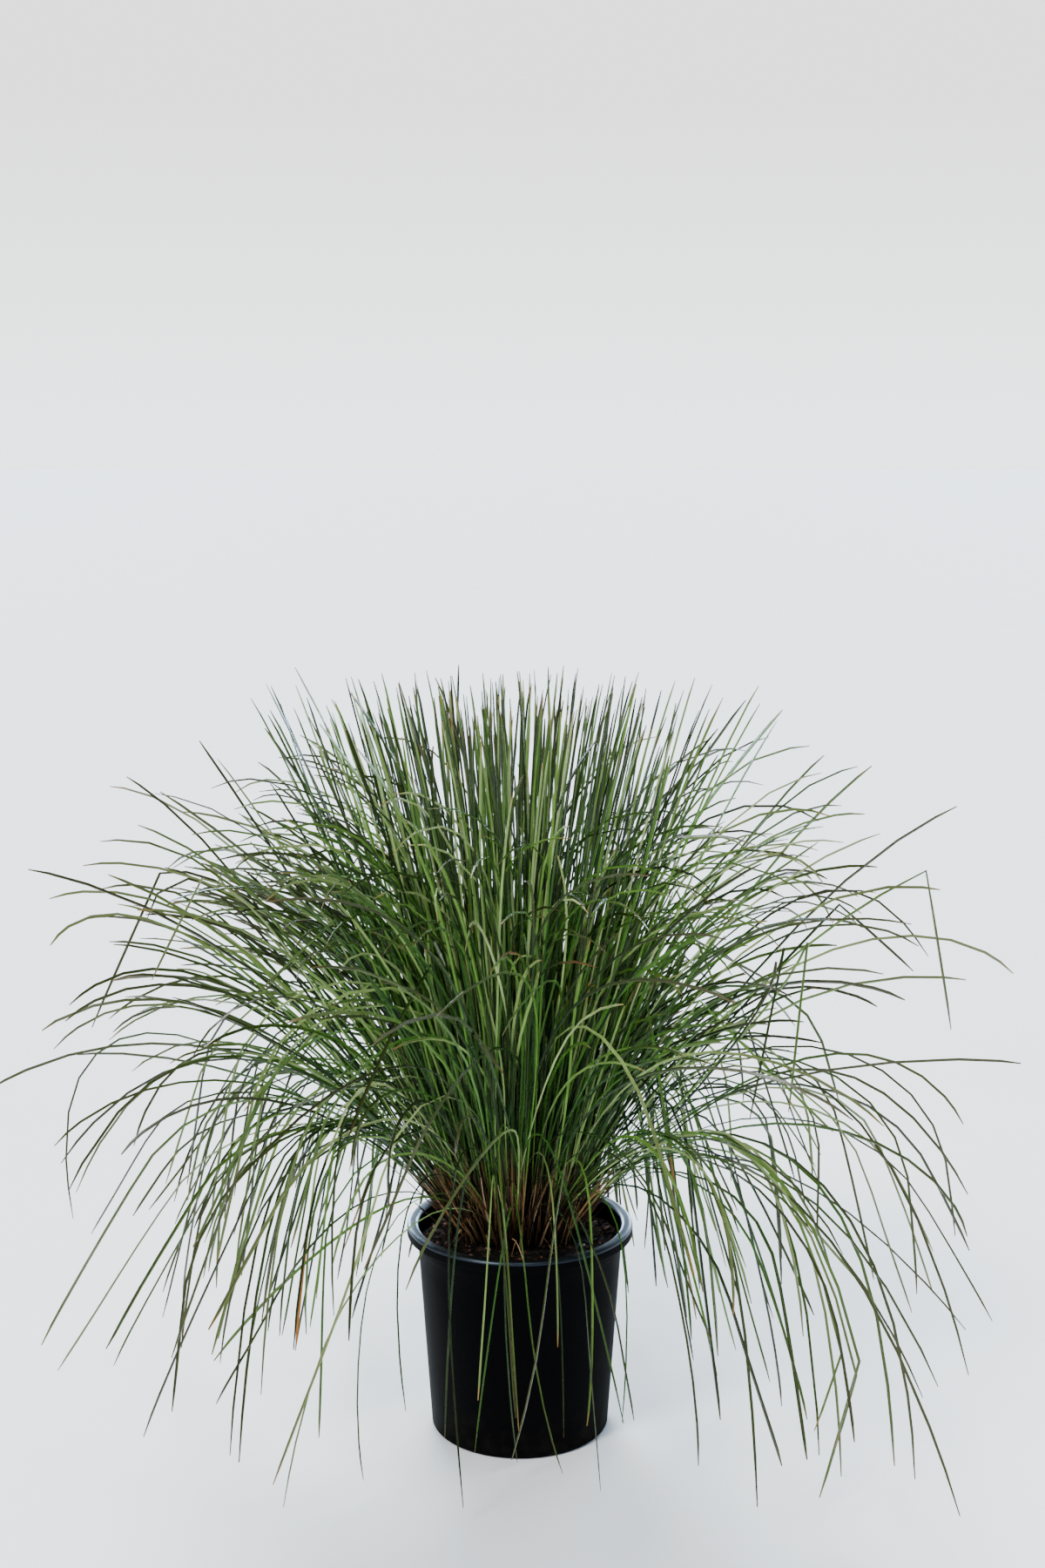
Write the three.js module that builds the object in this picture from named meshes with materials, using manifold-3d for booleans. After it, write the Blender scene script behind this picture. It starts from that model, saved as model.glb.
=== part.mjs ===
// Potted fountain grass: an arching clump of narrow leaves in a black nursery pot.
// Millimetres, +Z up, origin in the middle of the pot's underside, front of the plant towards -Y.

import * as THREE from 'three';
import { mergeVertices } from 'three/addons/utils/BufferGeometryUtils.js';
import Module from 'manifold-3d';

const wasm = await Module();
wasm.setup();

// Driving dimensions: pot
const POT_HEIGHT = 242;
const RIM_RADIUS = 129;
const WALL_TOP_RADIUS = 118;
const FOOT_RADIUS = 101.5;
const WALL = 2.2;
const FLOOR = 2.4;
const LIP_HEIGHT = 13;
const CHANNEL_RISE = 4;
const CHANNEL_RADIUS = 74.5;
const DRAIN_HOLES = 8;
const DRAIN_RADIUS = 6;
const ROUND_SIDES = 32;

// Driving dimensions: soil and crown
const SOIL_Z = 220;
const CROWN_X = -6;
const CROWN_Y = 14;
const CROWN_HALF_LENGTH = 75;
const CROWN_HALF_WIDTH = 60;
const CROWN_DEPTH = 24;
const CROWN_SIDES = 24;
const CHIPS = 12;
const SHEATHS = 96;
const GAP = 0.35;

// Driving dimensions: tufts and leaves
const TUFTS = 40;
const TUFT_HALF_LENGTH = 68;
const TUFT_HALF_WIDTH = 53;
const EDGE_LEAN = 33;
const CORE_RADIUS = 3.8;
const CORE_TOP_RADIUS = 6;
const CORE_ROOT = 14;
const CORE_TOP = 54;
const LEAF_RISE = 20;
const CORE_SIDES = 5;
const LEAVES_PER_TUFT = 8;
const LEAST_LEAVES = 4;
const TUFT_SPREAD = 15;
const LEAF_WIDTH = 3.2;
const LEAF_DEPTH = 1.1;
const LEAF_STEPS = 60;
const KINK_STEP = 48;
const EARLY_KINK_STEP = 36;
const MAX_TRIES = 30;
const GOLDEN_ANGLE = 137.508;

// Room the leaves keep: half the spread to each side, front and back, and the height
const REACH_X = 560;
const REACH_Y = 540;
const TOP_Z = 862;
const LOWEST_LEAF = 12;
const LOWEST_LOOSE_LEAF = 45;
const FRONT_DROOP_FROM = 254;
const FRONT_DROOP_RISE = 0.555;

// Long leaves that stand out of the clump: the point each one is drawn over, its tip,
// and for a snapped one the end of the piece that hangs past the kink.
const LONG_LEAVES = [
  { over: [-290, 60, 700], tip: [-480, 60, 670] },
  { over: [-300, 90, 720], tip: [-470, 90, 730] },
  { over: [-290, -20, 670], tip: [-430, -20, 760] },
  { over: [-250, 100, 630], tip: [-370, 100, 780] },
  { over: [-200, 150, 670], tip: [-310, 150, 750] },
  { over: [-320, -20, 690], tip: [-520, -20, 620] },
  { over: [-420, -60, 710], tip: [-510, -60, 580] },
  { over: [-300, 10, 660], tip: [-400, -10, 650], end: [-470, -40, 480] },
  { over: [-260, -120, 660], tip: [-330, -150, 670], end: [-380, -180, 570] },
  { over: [-350, -60, 650], tip: [-490, -60, 510] },
  { over: [-370, -120, 620], tip: [-500, -120, 480] },
  { over: [-540, -80, 660], tip: [-490, -80, 270] },
  { over: [-340, -120, 620], tip: [-470, -160, 330] },
  { over: [-390, 60, 550], tip: [-450, 60, 310] },
  { over: [-340, 120, 530], tip: [-420, 120, 220] },
  { over: [-230, -250, 660], tip: [-260, -320, 180] },
  { over: [-260, -200, 600], tip: [-290, -260, 80] },
  { over: [-260, -180, 520], tip: [-310, -240, 180] },
  { over: [-160, -130, 360], tip: [-320, -200, 160] },
  { over: [-180, -200, 360], tip: [-240, -320, 60] },
  { over: [-150, -160, 420], tip: [-120, -180, 100] },
  { over: [250, -40, 600], tip: [480, -40, 730] },
  { over: [250, 60, 620], tip: [400, 60, 760] },
  { over: [250, -80, 570], tip: [430, -110, 670], end: [460, -120, 500] },
  { over: [260, -20, 560], tip: [490, -60, 540] },
  { over: [330, 60, 760], tip: [460, 0, 550] },
  { over: [280, 160, 740], tip: [370, 120, 560] },
  { over: [280, -140, 530], tip: [280, -120, 590], end: [240, -180, 420] },
  { over: [380, -100, 570], tip: [480, -100, 390] },
  { over: [330, -180, 610], tip: [470, -180, 340] },
  { over: [340, -60, 640], tip: [490, -120, 130] },
  { over: [260, -120, 450], tip: [480, -160, 180] },
  { over: [290, -220, 530], tip: [450, -300, 40] },
  { over: [340, -120, 480], tip: [460, -140, 50] },
  { over: [380, -120, 510], tip: [410, -160, 20] },
  { over: [230, -240, 590], tip: [250, -300, 30] },
  { over: [310, -180, 570], tip: [340, -200, 30] },
  { over: [270, -200, 520], tip: [350, -240, 180], end: [310, -260, 40] },
  { over: [-110, -240, 560], tip: [-60, -240, 20] },
  { over: [-60, -200, 520], tip: [-80, -170, 60] },
  { over: [-10, -170, 400], tip: [-50, -150, 30] },
  { over: [-40, -180, 460], tip: [0, -150, 20] },
  { over: [40, -160, 370], tip: [50, -150, 50] },
  { over: [10, -200, 570], tip: [110, -210, 100] },
  { over: [130, -150, 420], tip: [110, -170, 80] },
];

// Small helpers: angles in degrees, seeded draws, and meshes to solids and back
const radians = THREE.MathUtils.degToRad;
const degrees = THREE.MathUtils.radToDeg;
const sin = (angle) => Math.sin(radians(angle));
const cos = (angle) => Math.cos(radians(angle));

function draws(seed) {
  let state = 1 + ((seed * 7919) % 2147483646);
  const draw = () => {
    state = (state * 16807) % 2147483647;
    return (state - 1) / 2147483646;
  };
  draw();
  draw();
  draw();
  return draw;
}

function toSolid(geometry) {
  const bare = geometry.clone();
  bare.deleteAttribute('normal');
  bare.deleteAttribute('uv');
  const merged = mergeVertices(bare, 1e-4);
  const corners = merged.index.array;
  const kept = [];
  for (let i = 0; i < corners.length; i += 3) {
    const [a, b, c] = [corners[i], corners[i + 1], corners[i + 2]];
    if (a !== b && b !== c && c !== a) kept.push(a, b, c);
  }
  return new wasm.Manifold(new wasm.Mesh({
    numProp: 3,
    vertProperties: new Float32Array(merged.attributes.position.array),
    triVerts: new Uint32Array(kept),
  }));
}

function toGeometry(solid) {
  const mesh = solid.getMesh();
  const geometry = new THREE.BufferGeometry();
  geometry.setAttribute('position', new THREE.BufferAttribute(mesh.vertProperties, 3));
  geometry.setIndex(new THREE.BufferAttribute(mesh.triVerts, 1));
  geometry.computeVertexNormals();
  return geometry;
}

// A lathe turned about Z, from [radius, height] pairs
function turned(profile, sides) {
  const outline = profile.map(([radius, height]) => new THREE.Vector2(radius, height));
  return new THREE.LatheGeometry(outline, sides).rotateX(Math.PI / 2);
}

// Pot: thin tapered wall, a folded-over lip open below, and a floor with a raised drain channel
const wallRadius = (z) => FOOT_RADIUS + ((WALL_TOP_RADIUS - FOOT_RADIUS) * z) / POT_HEIGHT;

function floorProfile(lift, shrink) {
  const wallFoot = wallRadius(0) - WALL - shrink;
  return [
    [wallFoot, 6 + lift],
    [wallFoot - 3, FLOOR + lift],
    [CHANNEL_RADIUS + 15.5, FLOOR + lift],
    [CHANNEL_RADIUS + 11.5, FLOOR + CHANNEL_RISE + lift],
    [CHANNEL_RADIUS - 11.5, FLOOR + CHANNEL_RISE + lift],
    [CHANNEL_RADIUS - 16.5, FLOOR + lift],
    [0, FLOOR + lift],
  ];
}

function pot() {
  const lipFoot = POT_HEIGHT - LIP_HEIGHT;
  const lipInside = RIM_RADIUS - 2.6;
  const underLip = POT_HEIGHT - 4;
  const profile = [
    [0, 0],
    [CHANNEL_RADIUS - 14.5, 0],
    [CHANNEL_RADIUS - 9.5, CHANNEL_RISE],
    [CHANNEL_RADIUS + 9.5, CHANNEL_RISE],
    [CHANNEL_RADIUS + 13.5, 0],
    [FOOT_RADIUS - 4, 0],
    [FOOT_RADIUS - 0.6, 1.6],
    [wallRadius(6), 6],
    [wallRadius(underLip), underLip],
    [lipInside, underLip],
    [lipInside, lipFoot],
    [RIM_RADIUS, lipFoot],
    [RIM_RADIUS, POT_HEIGHT - 4],
    [RIM_RADIUS - 3, POT_HEIGHT],
    [RIM_RADIUS - 9, POT_HEIGHT],
    [WALL_TOP_RADIUS - WALL, POT_HEIGHT - 5],
    ...floorProfile(0, 0),
  ];
  let body = toSolid(turned(profile, ROUND_SIDES));
  for (let i = 0; i < DRAIN_HOLES; i += 1) {
    const hole = new THREE.CylinderGeometry(DRAIN_RADIUS, DRAIN_RADIUS, 12, 10);
    hole.rotateX(Math.PI / 2);
    const turn = (i * 360) / DRAIN_HOLES;
    hole.translate(CHANNEL_RADIUS * cos(turn), CHANNEL_RADIUS * sin(turn), CHANNEL_RISE);
    body = body.subtract(toSolid(hole));
  }
  return body;
}

// Crown: the brown rootstock that the tufts stand in, slightly proud of the soil
function crownPlug(grow) {
  const bottom = SOIL_Z - CROWN_DEPTH - grow;
  const edge = 1 + grow / CROWN_HALF_WIDTH;
  const profile = [
    [0, bottom],
    [edge * 0.8, bottom],
    [edge, bottom + 10],
    [edge, SOIL_Z + 2],
    [edge * 0.6, SOIL_Z + 4.5],
    [0, SOIL_Z + 5.5],
  ];
  return turned(profile, CROWN_SIDES)
    .scale(CROWN_HALF_LENGTH, CROWN_HALF_WIDTH, 1)
    .translate(CROWN_X, CROWN_Y, 0);
}

// Soil: fills the pot to a little below the lip, uneven on top, with bark chips sunk in it
function unevenness(x, y) {
  return 1.3 * Math.sin(x / 13 + 0.7) * Math.cos(y / 17) + 0.9 * Math.sin((x + y) / 8);
}

function barkChip(index) {
  const draw = draws(50000 + 31 * index);
  const turn = index * GOLDEN_ANGLE;
  const inner = 1.2;
  const share = 0.15 + 0.7 * draw();
  const nearX = CROWN_X + CROWN_HALF_LENGTH * inner * cos(turn);
  const nearY = CROWN_Y + CROWN_HALF_WIDTH * inner * sin(turn);
  const farX = 100 * cos(turn);
  const farY = 100 * sin(turn);
  const chip = new THREE.BoxGeometry(9 + 7 * draw(), 5 + 3 * draw(), 4 + 2 * draw());
  chip.rotateX(0.9 * (draw() - 0.5));
  chip.rotateY(0.9 * (draw() - 0.5));
  chip.rotateZ(Math.PI * draw());
  const x = nearX + (farX - nearX) * share;
  const y = nearY + (farY - nearY) * share;
  return chip.translate(x, y, SOIL_Z - 0.5);
}

function soil() {
  const top = SOIL_Z - 3;
  const edge = wallRadius(top) - WALL - GAP;
  const floor = floorProfile(GAP, GAP).reverse();
  const profile = [
    ...floor,
    [edge, top],
    [edge - 12, top + 1.5],
    [edge - 30, SOIL_Z],
    [0, SOIL_Z + 1],
  ];
  const body = turned(profile, ROUND_SIDES);
  const at = body.attributes.position;
  for (let i = 0; i < at.count; i += 1) {
    const [x, y, z] = [at.getX(i), at.getY(i), at.getZ(i)];
    if (z > top + 1) at.setZ(i, z + unevenness(x, y));
  }
  let solid = toSolid(body);
  for (let i = 0; i < CHIPS; i += 1) solid = solid.add(toSolid(barkChip(i)));
  return solid.subtract(toSolid(crownPlug(GAP + 0.15)));
}

// Tufts stand in a sunflower pattern on the crown and lean out more towards its edge
function aim(lean, turn) {
  return new THREE.Vector3(sin(lean) * cos(turn), sin(lean) * sin(turn), cos(lean));
}

function tuftPlace(k) {
  const share = Math.sqrt((k + 0.5) / TUFTS);
  const turn = k * GOLDEN_ANGLE;
  const lean = EDGE_LEAN * share;
  const foot = new THREE.Vector3(
    CROWN_X + TUFT_HALF_LENGTH * share * cos(turn),
    CROWN_Y + TUFT_HALF_WIDTH * share * sin(turn),
    SOIL_Z,
  );
  return { foot, lean, turn, axis: aim(lean, turn), longLeaves: 0 };
}

const tufts = Array.from({ length: TUFTS }, (unused, k) => tuftPlace(k));

// A point along a tuft's axis, and the direction at right angles to it towards a turn
function alongAxis(tuft, rise) {
  return tuft.foot.clone().addScaledVector(tuft.axis, rise);
}

function sideways(tuft, turn) {
  const out = new THREE.Vector3(
    cos(tuft.lean) * cos(tuft.turn),
    cos(tuft.lean) * sin(tuft.turn),
    -sin(tuft.lean),
  );
  const across = new THREE.Vector3(-sin(tuft.turn), cos(tuft.turn), 0);
  return out.multiplyScalar(cos(turn)).addScaledVector(across, sin(turn));
}

// A tuft's core: the packed leaf bases, a slim five-sided stake in the crown
function core(tuft, grow) {
  const stake = new THREE.CylinderGeometry(
    CORE_TOP_RADIUS + grow,
    CORE_RADIUS + grow,
    CORE_ROOT + CORE_TOP,
    CORE_SIDES,
  );
  stake.translate(0, (CORE_TOP - CORE_ROOT) / 2 - (grow > 0 ? GAP : 0), 0);
  const upright = new THREE.Vector3(0, 1, 0);
  const tilt = new THREE.Quaternion().setFromUnitVectors(upright, tuft.axis);
  stake.applyQuaternion(tilt);
  return stake.translate(tuft.foot.x, tuft.foot.y, tuft.foot.z);
}

// The more a leaf bends, the closer its rings stand, in steps of its path
function ringSpacing(bend) {
  if (bend < 55) return LEAF_STEPS / 3;
  return bend < 105 ? LEAF_STEPS / 4 : LEAF_STEPS / 5;
}

// A leaf of the clump: it leaves its tuft at a slant and bends over along its length.
// Some bow right over and hang, some snap and drop, the rest arch or stand.
function looseLeaf(k, j, attempt, count) {
  const tuft = tufts[k];
  const draw = draws(1000 * k + 37 * j + 7 * attempt + 5);
  const tilt = TUFT_SPREAD * Math.sqrt((j + 0.5) / count) * (0.7 + 0.6 * draw());
  const side = sideways(tuft, j * GOLDEN_ANGLE + 61 * k + 50 * (draw() - 0.5));
  const start = tuft.axis.clone().multiplyScalar(cos(tilt)).addScaledVector(side, sin(tilt));
  const lean = degrees(Math.acos(start.z));
  const turn = degrees(Math.atan2(start.y, start.x));
  const root = alongAxis(tuft, LEAF_RISE + 4 * draw()).addScaledVector(side, 0.6);
  const front = 0.5 - 0.5 * sin(turn);
  const flop = draw();
  const kind = draw();
  const hangs = 0.08 + 0.016 * lean - (lean > 14 ? 0.2 : 0.06) * front * front;
  const habit = { length: 0, tip: 0, bentBy: 1, power: 1, snapsAt: LEAF_STEPS, snapped: 0 };
  if (kind < hangs) {
    habit.tip = 140 + 36 * draw();
    habit.bentBy = 0.5 + 0.4 * draw();
    habit.power = 1 + 0.9 * draw();
    habit.length = 440 + 280 * draw();
  } else if (kind > 0.86 && lean > 10) {
    habit.tip = lean + 6;
    habit.length = 520 + 90 * draw();
    habit.snapped = 118 + 50 * draw();
    habit.snapsAt = draw() < 0.6 ? EARLY_KINK_STEP : KINK_STEP;
  } else {
    habit.tip = Math.min(165, lean + 4 + 1.2 * lean + 70 * flop ** 1.6);
    habit.power = 1.3 + 1.1 * draw();
    habit.length = 450 + 190 * draw() + 2 * Math.min(28, lean);
  }
  const sway = 110 * (draw() - 0.5);
  const roll = 70 * (draw() - 0.5);
  const path = [root.clone()];
  for (let i = 0; i < LEAF_STEPS; i += 1) {
    const t = (i + 0.5) / LEAF_STEPS;
    const bend = Math.min(1, t / habit.bentBy) ** habit.power;
    const slope = i >= habit.snapsAt ? habit.snapped : lean + (habit.tip - lean) * bend;
    const step = aim(slope, turn + sway * t * t).multiplyScalar(habit.length / LEAF_STEPS);
    path.push(path[i].clone().add(step));
  }
  const bent = habit.snapsAt < LEAF_STEPS ? 180 : habit.tip - lean;
  return { path, roll, ringSpacing: ringSpacing(bent) };
}

// A long leaf: it leaves its tuft along the axis and is drawn over a point to its tip
function longLeaf(index, k, attempt) {
  const leaf = LONG_LEAVES[index];
  const tuft = tufts[k];
  const draw = draws(90000 + 37 * index + 7 * attempt);
  const near = (point, slack) => {
    const offset = new THREE.Vector3(draw() - 0.5, draw() - 0.5, draw() - 0.5);
    return new THREE.Vector3(...point).addScaledVector(offset, slack);
  };
  const over = near(leaf.over, 10 * attempt);
  const tip = near(leaf.tip, 5 * attempt);
  const end = leaf.end ? near(leaf.end, 5 * attempt) : null;
  const tilt = 5 + 6 * draw();
  const side = sideways(tuft, index * GOLDEN_ANGLE);
  const root = alongAxis(tuft, LEAF_RISE + 4 * draw()).addScaledVector(side, 0.6);
  const roll = 70 * (draw() - 0.5);
  const towards = over.clone().sub(tuft.foot).normalize();
  const start = tuft.axis.clone().multiplyScalar(cos(tilt)).addScaledVector(side, sin(tilt));
  start.addScaledVector(towards, 0.55).normalize();
  const pull = root.clone().addScaledVector(start, 0.38 * over.distanceTo(root));
  const curve = new THREE.CubicBezierCurve3(root, pull, over, tip);
  const curvedSteps = end ? KINK_STEP : LEAF_STEPS;
  const path = [];
  for (let i = 0; i <= curvedSteps; i += 1) path.push(curve.getPoint(i / curvedSteps));
  for (let i = curvedSteps + 1; i <= LEAF_STEPS; i += 1) {
    const share = (i - curvedSteps) / (LEAF_STEPS - curvedSteps);
    path.push(tip.clone().lerp(end, share));
  }
  return { path, roll, ringSpacing: ringSpacing(180) };
}

// Leaf outline: narrow at the sheath, full width to past the middle, then a fine point
function widthShare(t) {
  if (t < 0.2) return 0.6 + 2 * t;
  return t < 0.55 ? 1 : Math.max(0, 1 - ((t - 0.55) / 0.45) ** 1.6);
}

// Every leaf is kept clear of the pot, the floor and the leaves of other tufts
const ringsOf = (leaf) => leaf.path.filter((point, i) => i % leaf.ringSpacing === 0);

function clearOfPot(path, lowest, settled) {
  const room = 3.5;
  return path.every((point, i) => {
    const r = Math.hypot(point.x, point.y);
    const droop = FRONT_DROOP_RISE * Math.max(0, -point.y - FRONT_DROOP_FROM);
    if (point.z < lowest + droop || point.z > TOP_Z) return false;
    if (Math.abs(point.x) > REACH_X || Math.abs(point.y) > REACH_Y) return false;
    if (point.z > POT_HEIGHT + room || r > RIM_RADIUS + room) return true;
    if (r < WALL_TOP_RADIUS - WALL - room && point.z > SOIL_Z) return true;
    const underLip = point.z < POT_HEIGHT - LIP_HEIGHT - room;
    return underLip && r > wallRadius(point.z) + room && i > settled;
  });
}

function segmentDistance(p, q) {
  const d1 = p.to.clone().sub(p.from);
  const d2 = q.to.clone().sub(q.from);
  const r = p.from.clone().sub(q.from);
  const [a, e, f, c, b] = [d1.dot(d1), d2.dot(d2), d2.dot(r), d1.dot(r), d1.dot(d2)];
  const spread = a * e - b * b;
  const s0 = spread > 1e-9 ? THREE.MathUtils.clamp((b * f - c * e) / spread, 0, 1) : 0;
  const t = THREE.MathUtils.clamp((b * s0 + f) / e, 0, 1);
  const s = THREE.MathUtils.clamp((b * t - c) / a, 0, 1);
  return r.addScaledVector(d1, s).addScaledVector(d2, -t).length();
}

const standing = tufts.map((tuft, k) => ({
  from: alongAxis(tuft, -CORE_ROOT),
  to: alongAxis(tuft, CORE_TOP),
  radius: CORE_TOP_RADIUS,
  owner: k,
  atRoot: true,
}));

function segments(points, radiusAt, owner) {
  const made = [];
  for (let i = 0; i + 1 < points.length; i += 1) {
    const [from, to] = [points[i], points[i + 1]];
    made.push({ from, to, radius: radiusAt(i / (points.length - 1)), owner, atRoot: i === 0 });
  }
  return made;
}

function clearOfOthers(candidates) {
  return candidates.every((mine) => standing.every((other) => {
    if (other.owner === mine.owner && (mine.atRoot || other.atRoot)) return true;
    return segmentDistance(mine, other) > mine.radius + other.radius + GAP;
  }));
}

const leafRadius = (t) => (LEAF_WIDTH / 2) * widthShare(t) + 0.1;

function settle(make, k, lowest) {
  for (let attempt = 0; attempt < MAX_TRIES; attempt += 1) {
    const leaf = make(attempt);
    const rings = ringsOf(leaf);
    const pieces = segments(rings, leafRadius, k);
    const settledAfter = LEAF_STEPS / 4;
    const fits = clearOfPot(leaf.path, lowest, settledAfter) && clearOfPot(rings, lowest, 1);
    if (fits && clearOfOthers(pieces)) {
      standing.push(...pieces);
      return { ...leaf, rings };
    }
  }
  return null;
}

// The tuft that points nearest to where a long leaf goes, sooner one with few of them
function homeOf(leaf) {
  const heart = new THREE.Vector3(CROWN_X, CROWN_Y, SOIL_Z - 60);
  const want = new THREE.Vector3(...leaf.over).sub(heart).normalize();
  const cost = tufts.map((tuft) => want.distanceTo(tuft.axis) + 0.07 * tuft.longLeaves);
  return cost.indexOf(Math.min(...cost));
}

const grown = tufts.map(() => []);
LONG_LEAVES.forEach((leaf, index) => {
  const k = homeOf(leaf);
  tufts[k].longLeaves += 1;
  grown[k].push(settle((attempt) => longLeaf(index, k, attempt), k, LOWEST_LEAF));
});
tufts.forEach((tuft, k) => {
  const count = Math.max(LEAST_LEAVES, LEAVES_PER_TUFT - tuft.longLeaves);
  for (let j = 0; j < count; j += 1) {
    grown[k].push(settle((attempt) => looseLeaf(k, j, attempt, count), k, LOWEST_LOOSE_LEAF));
  }
});

// A three-sided blade along a path: a cone whose rings are moved onto the path and
// pressed to a flat face above and a keel below
function blade(rings, roll, width, depth, shareAt) {
  const cone = new THREE.ConeGeometry(1, 1, 3, rings.length - 1);
  const at = cone.attributes.position;
  const last = rings.length - 1;
  const frames = [];
  let side = null;
  rings.forEach((point, i) => {
    const before = rings[Math.max(0, i - 1)];
    const after = rings[Math.min(last, i + 1)];
    const along = after.clone().sub(before).normalize();
    if (side === null) {
      const across = new THREE.Vector3(-along.y, along.x, 0).normalize();
      side = across.applyAxisAngle(along, radians(roll));
    }
    side = side.clone().addScaledVector(along, -side.dot(along)).normalize();
    frames.push({ point, side, under: side.clone().cross(along) });
  });
  for (let i = 0; i < at.count; i += 1) {
    const t = at.getY(i) + 0.5;
    const frame = frames[Math.round(t * last)];
    const reach = Math.hypot(at.getX(i), at.getZ(i));
    const share = reach > 1e-6 ? shareAt(t) / reach : 0;
    const across = (at.getX(i) * share * width) / (2 * sin(60));
    const down = (at.getZ(i) * share * depth) / 1.5;
    const spot = frame.point.clone();
    spot.addScaledVector(frame.side, across).addScaledVector(frame.under, down);
    at.setXYZ(i, spot.x, spot.y, spot.z);
  }
  return cone;
}

function tuftBody(k) {
  let body = toSolid(core(tufts[k], 0));
  for (const leaf of grown[k]) {
    if (leaf === null) continue;
    body = body.add(toSolid(blade(leaf.rings, leaf.roll, LEAF_WIDTH, LEAF_DEPTH, widthShare)));
  }
  return body;
}

// Straw: dry leaf sheaths that stand out of the crown between the tufts
function straw(index, attempt) {
  const draw = draws(70000 + 41 * index + 7 * attempt);
  const share = Math.sqrt((index + 0.5) / SHEATHS) * 0.93;
  const turn = index * GOLDEN_ANGLE + 70 + 25 * (draw() - 0.5);
  const foot = new THREE.Vector3(
    CROWN_X + CROWN_HALF_LENGTH * share * cos(turn) + 5 * (draw() - 0.5),
    CROWN_Y + CROWN_HALF_WIDTH * share * sin(turn) + 5 * (draw() - 0.5),
    SOIL_Z - 2,
  );
  const up = aim((EDGE_LEAN + 8) * share + 18 * (draw() - 0.5), turn + 40 * (draw() - 0.5));
  return [foot, foot.clone().addScaledVector(up, 46 + 34 * draw())];
}

function crown() {
  let body = toSolid(crownPlug(0));
  tufts.forEach((tuft) => {
    body = body.subtract(toSolid(core(tuft, GAP + 0.1)));
  });
  const strawWidth = 3;
  for (let i = 0; i < SHEATHS; i += 1) {
    for (let attempt = 0; attempt < MAX_TRIES; attempt += 1) {
      const rings = straw(i, attempt);
      const pieces = segments(rings, () => strawWidth / 2 + 0.2, TUFTS + i);
      if (clearOfOthers(pieces)) {
        standing.push(...pieces);
        const stalk = blade(rings, 90 * attempt, strawWidth, 1.6, (t) => 1 - 0.75 * t);
        body = body.add(toSolid(stalk));
        break;
      }
    }
  }
  return body;
}

// Colours of the real thing: black plastic, dark bark mix, straw and green leaves
const finishes = {
  pot: { color: 0x17181a, roughness: 0.4, metalness: 0 },
  soil: { color: 0x2b1d15, roughness: 0.95, metalness: 0 },
  crown: { color: 0x8a5a34, roughness: 0.8, metalness: 0 },
  leaf: { color: 0x55703a, roughness: 0.5, metalness: 0 },
};

function part(name, solid, finish) {
  const mesh = new THREE.Mesh(toGeometry(solid), new THREE.MeshStandardMaterial(finish));
  mesh.name = name;
  return mesh;
}

const plant = new THREE.Group();
plant.name = 'potted_fountain_grass';
plant.add(part('pot', pot(), finishes.pot));
plant.add(part('soil', soil(), finishes.soil));
plant.add(part('crown', crown(), finishes.crown));
tufts.forEach((tuft, k) => {
  const name = `tuft_${String(k + 1).padStart(2, '0')}`;
  plant.add(part(name, tuftBody(k), finishes.leaf));
});

export default plant;
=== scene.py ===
import math

import bpy
import numpy as np
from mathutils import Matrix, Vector, noise


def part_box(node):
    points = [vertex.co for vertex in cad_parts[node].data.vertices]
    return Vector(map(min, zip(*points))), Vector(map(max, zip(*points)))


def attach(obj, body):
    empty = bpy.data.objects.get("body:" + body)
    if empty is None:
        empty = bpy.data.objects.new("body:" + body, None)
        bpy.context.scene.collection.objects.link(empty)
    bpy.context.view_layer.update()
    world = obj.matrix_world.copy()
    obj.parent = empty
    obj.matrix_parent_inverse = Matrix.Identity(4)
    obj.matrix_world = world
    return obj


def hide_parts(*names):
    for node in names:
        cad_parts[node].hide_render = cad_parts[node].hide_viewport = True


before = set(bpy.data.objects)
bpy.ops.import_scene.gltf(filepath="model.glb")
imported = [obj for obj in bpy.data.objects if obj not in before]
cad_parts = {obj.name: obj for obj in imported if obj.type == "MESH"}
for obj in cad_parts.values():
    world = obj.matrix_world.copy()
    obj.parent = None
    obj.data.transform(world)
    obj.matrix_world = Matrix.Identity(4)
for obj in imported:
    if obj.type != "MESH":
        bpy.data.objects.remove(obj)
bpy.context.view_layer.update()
bpy.ops.object.select_all(action="DESELECT")

# Viewpoint
# The plant is seen from a little over two metres away and from chest height, looking slightly
# down. The lens is given for a 36 mm sensor on the longer side of the picture.
LOOKING_DOWN = 9.04
camera_data = bpy.data.cameras.new("camera")
camera_data.sensor_width = 36
camera_data.lens = 47.08
camera = bpy.data.objects.new("camera", camera_data)
camera.location = (0.003, -2.240, 1.103)
camera.rotation_euler = (math.radians(90 - LOOKING_DOWN), 0, 0)
bpy.context.collection.objects.link(camera)
bpy.context.scene.camera = camera

# Pot
# A trade nursery pot, injection moulded in thin black plastic: a tapered wall with a stacking
# shoulder, a lip folded over and down, and a floor whose raised channel carries the drain holes.
MM = 0.001
POT_SIDES = 128
RIM_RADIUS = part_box("pot")[1].x
POT_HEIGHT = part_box("pot")[1].z
WALL_TOP_RADIUS = RIM_RADIUS - 11 * MM
FOOT_RADIUS = RIM_RADIUS - 27.5 * MM
WALL = 2.2 * MM
FLOOR = 2.4 * MM
LIP_HEIGHT = 13 * MM
FOOT_ROUND = 4.5 * MM
FOLD_ROUND = 3 * MM
LIP_ROUND = 5 * MM
LIP_EDGE_ROUND = 1.3 * MM
CHANNEL_RADIUS = 74.5 * MM
CHANNEL_HALF = 9.5 * MM
CHANNEL_RISE = 4 * MM
DRAIN_HOLES = 8
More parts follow.
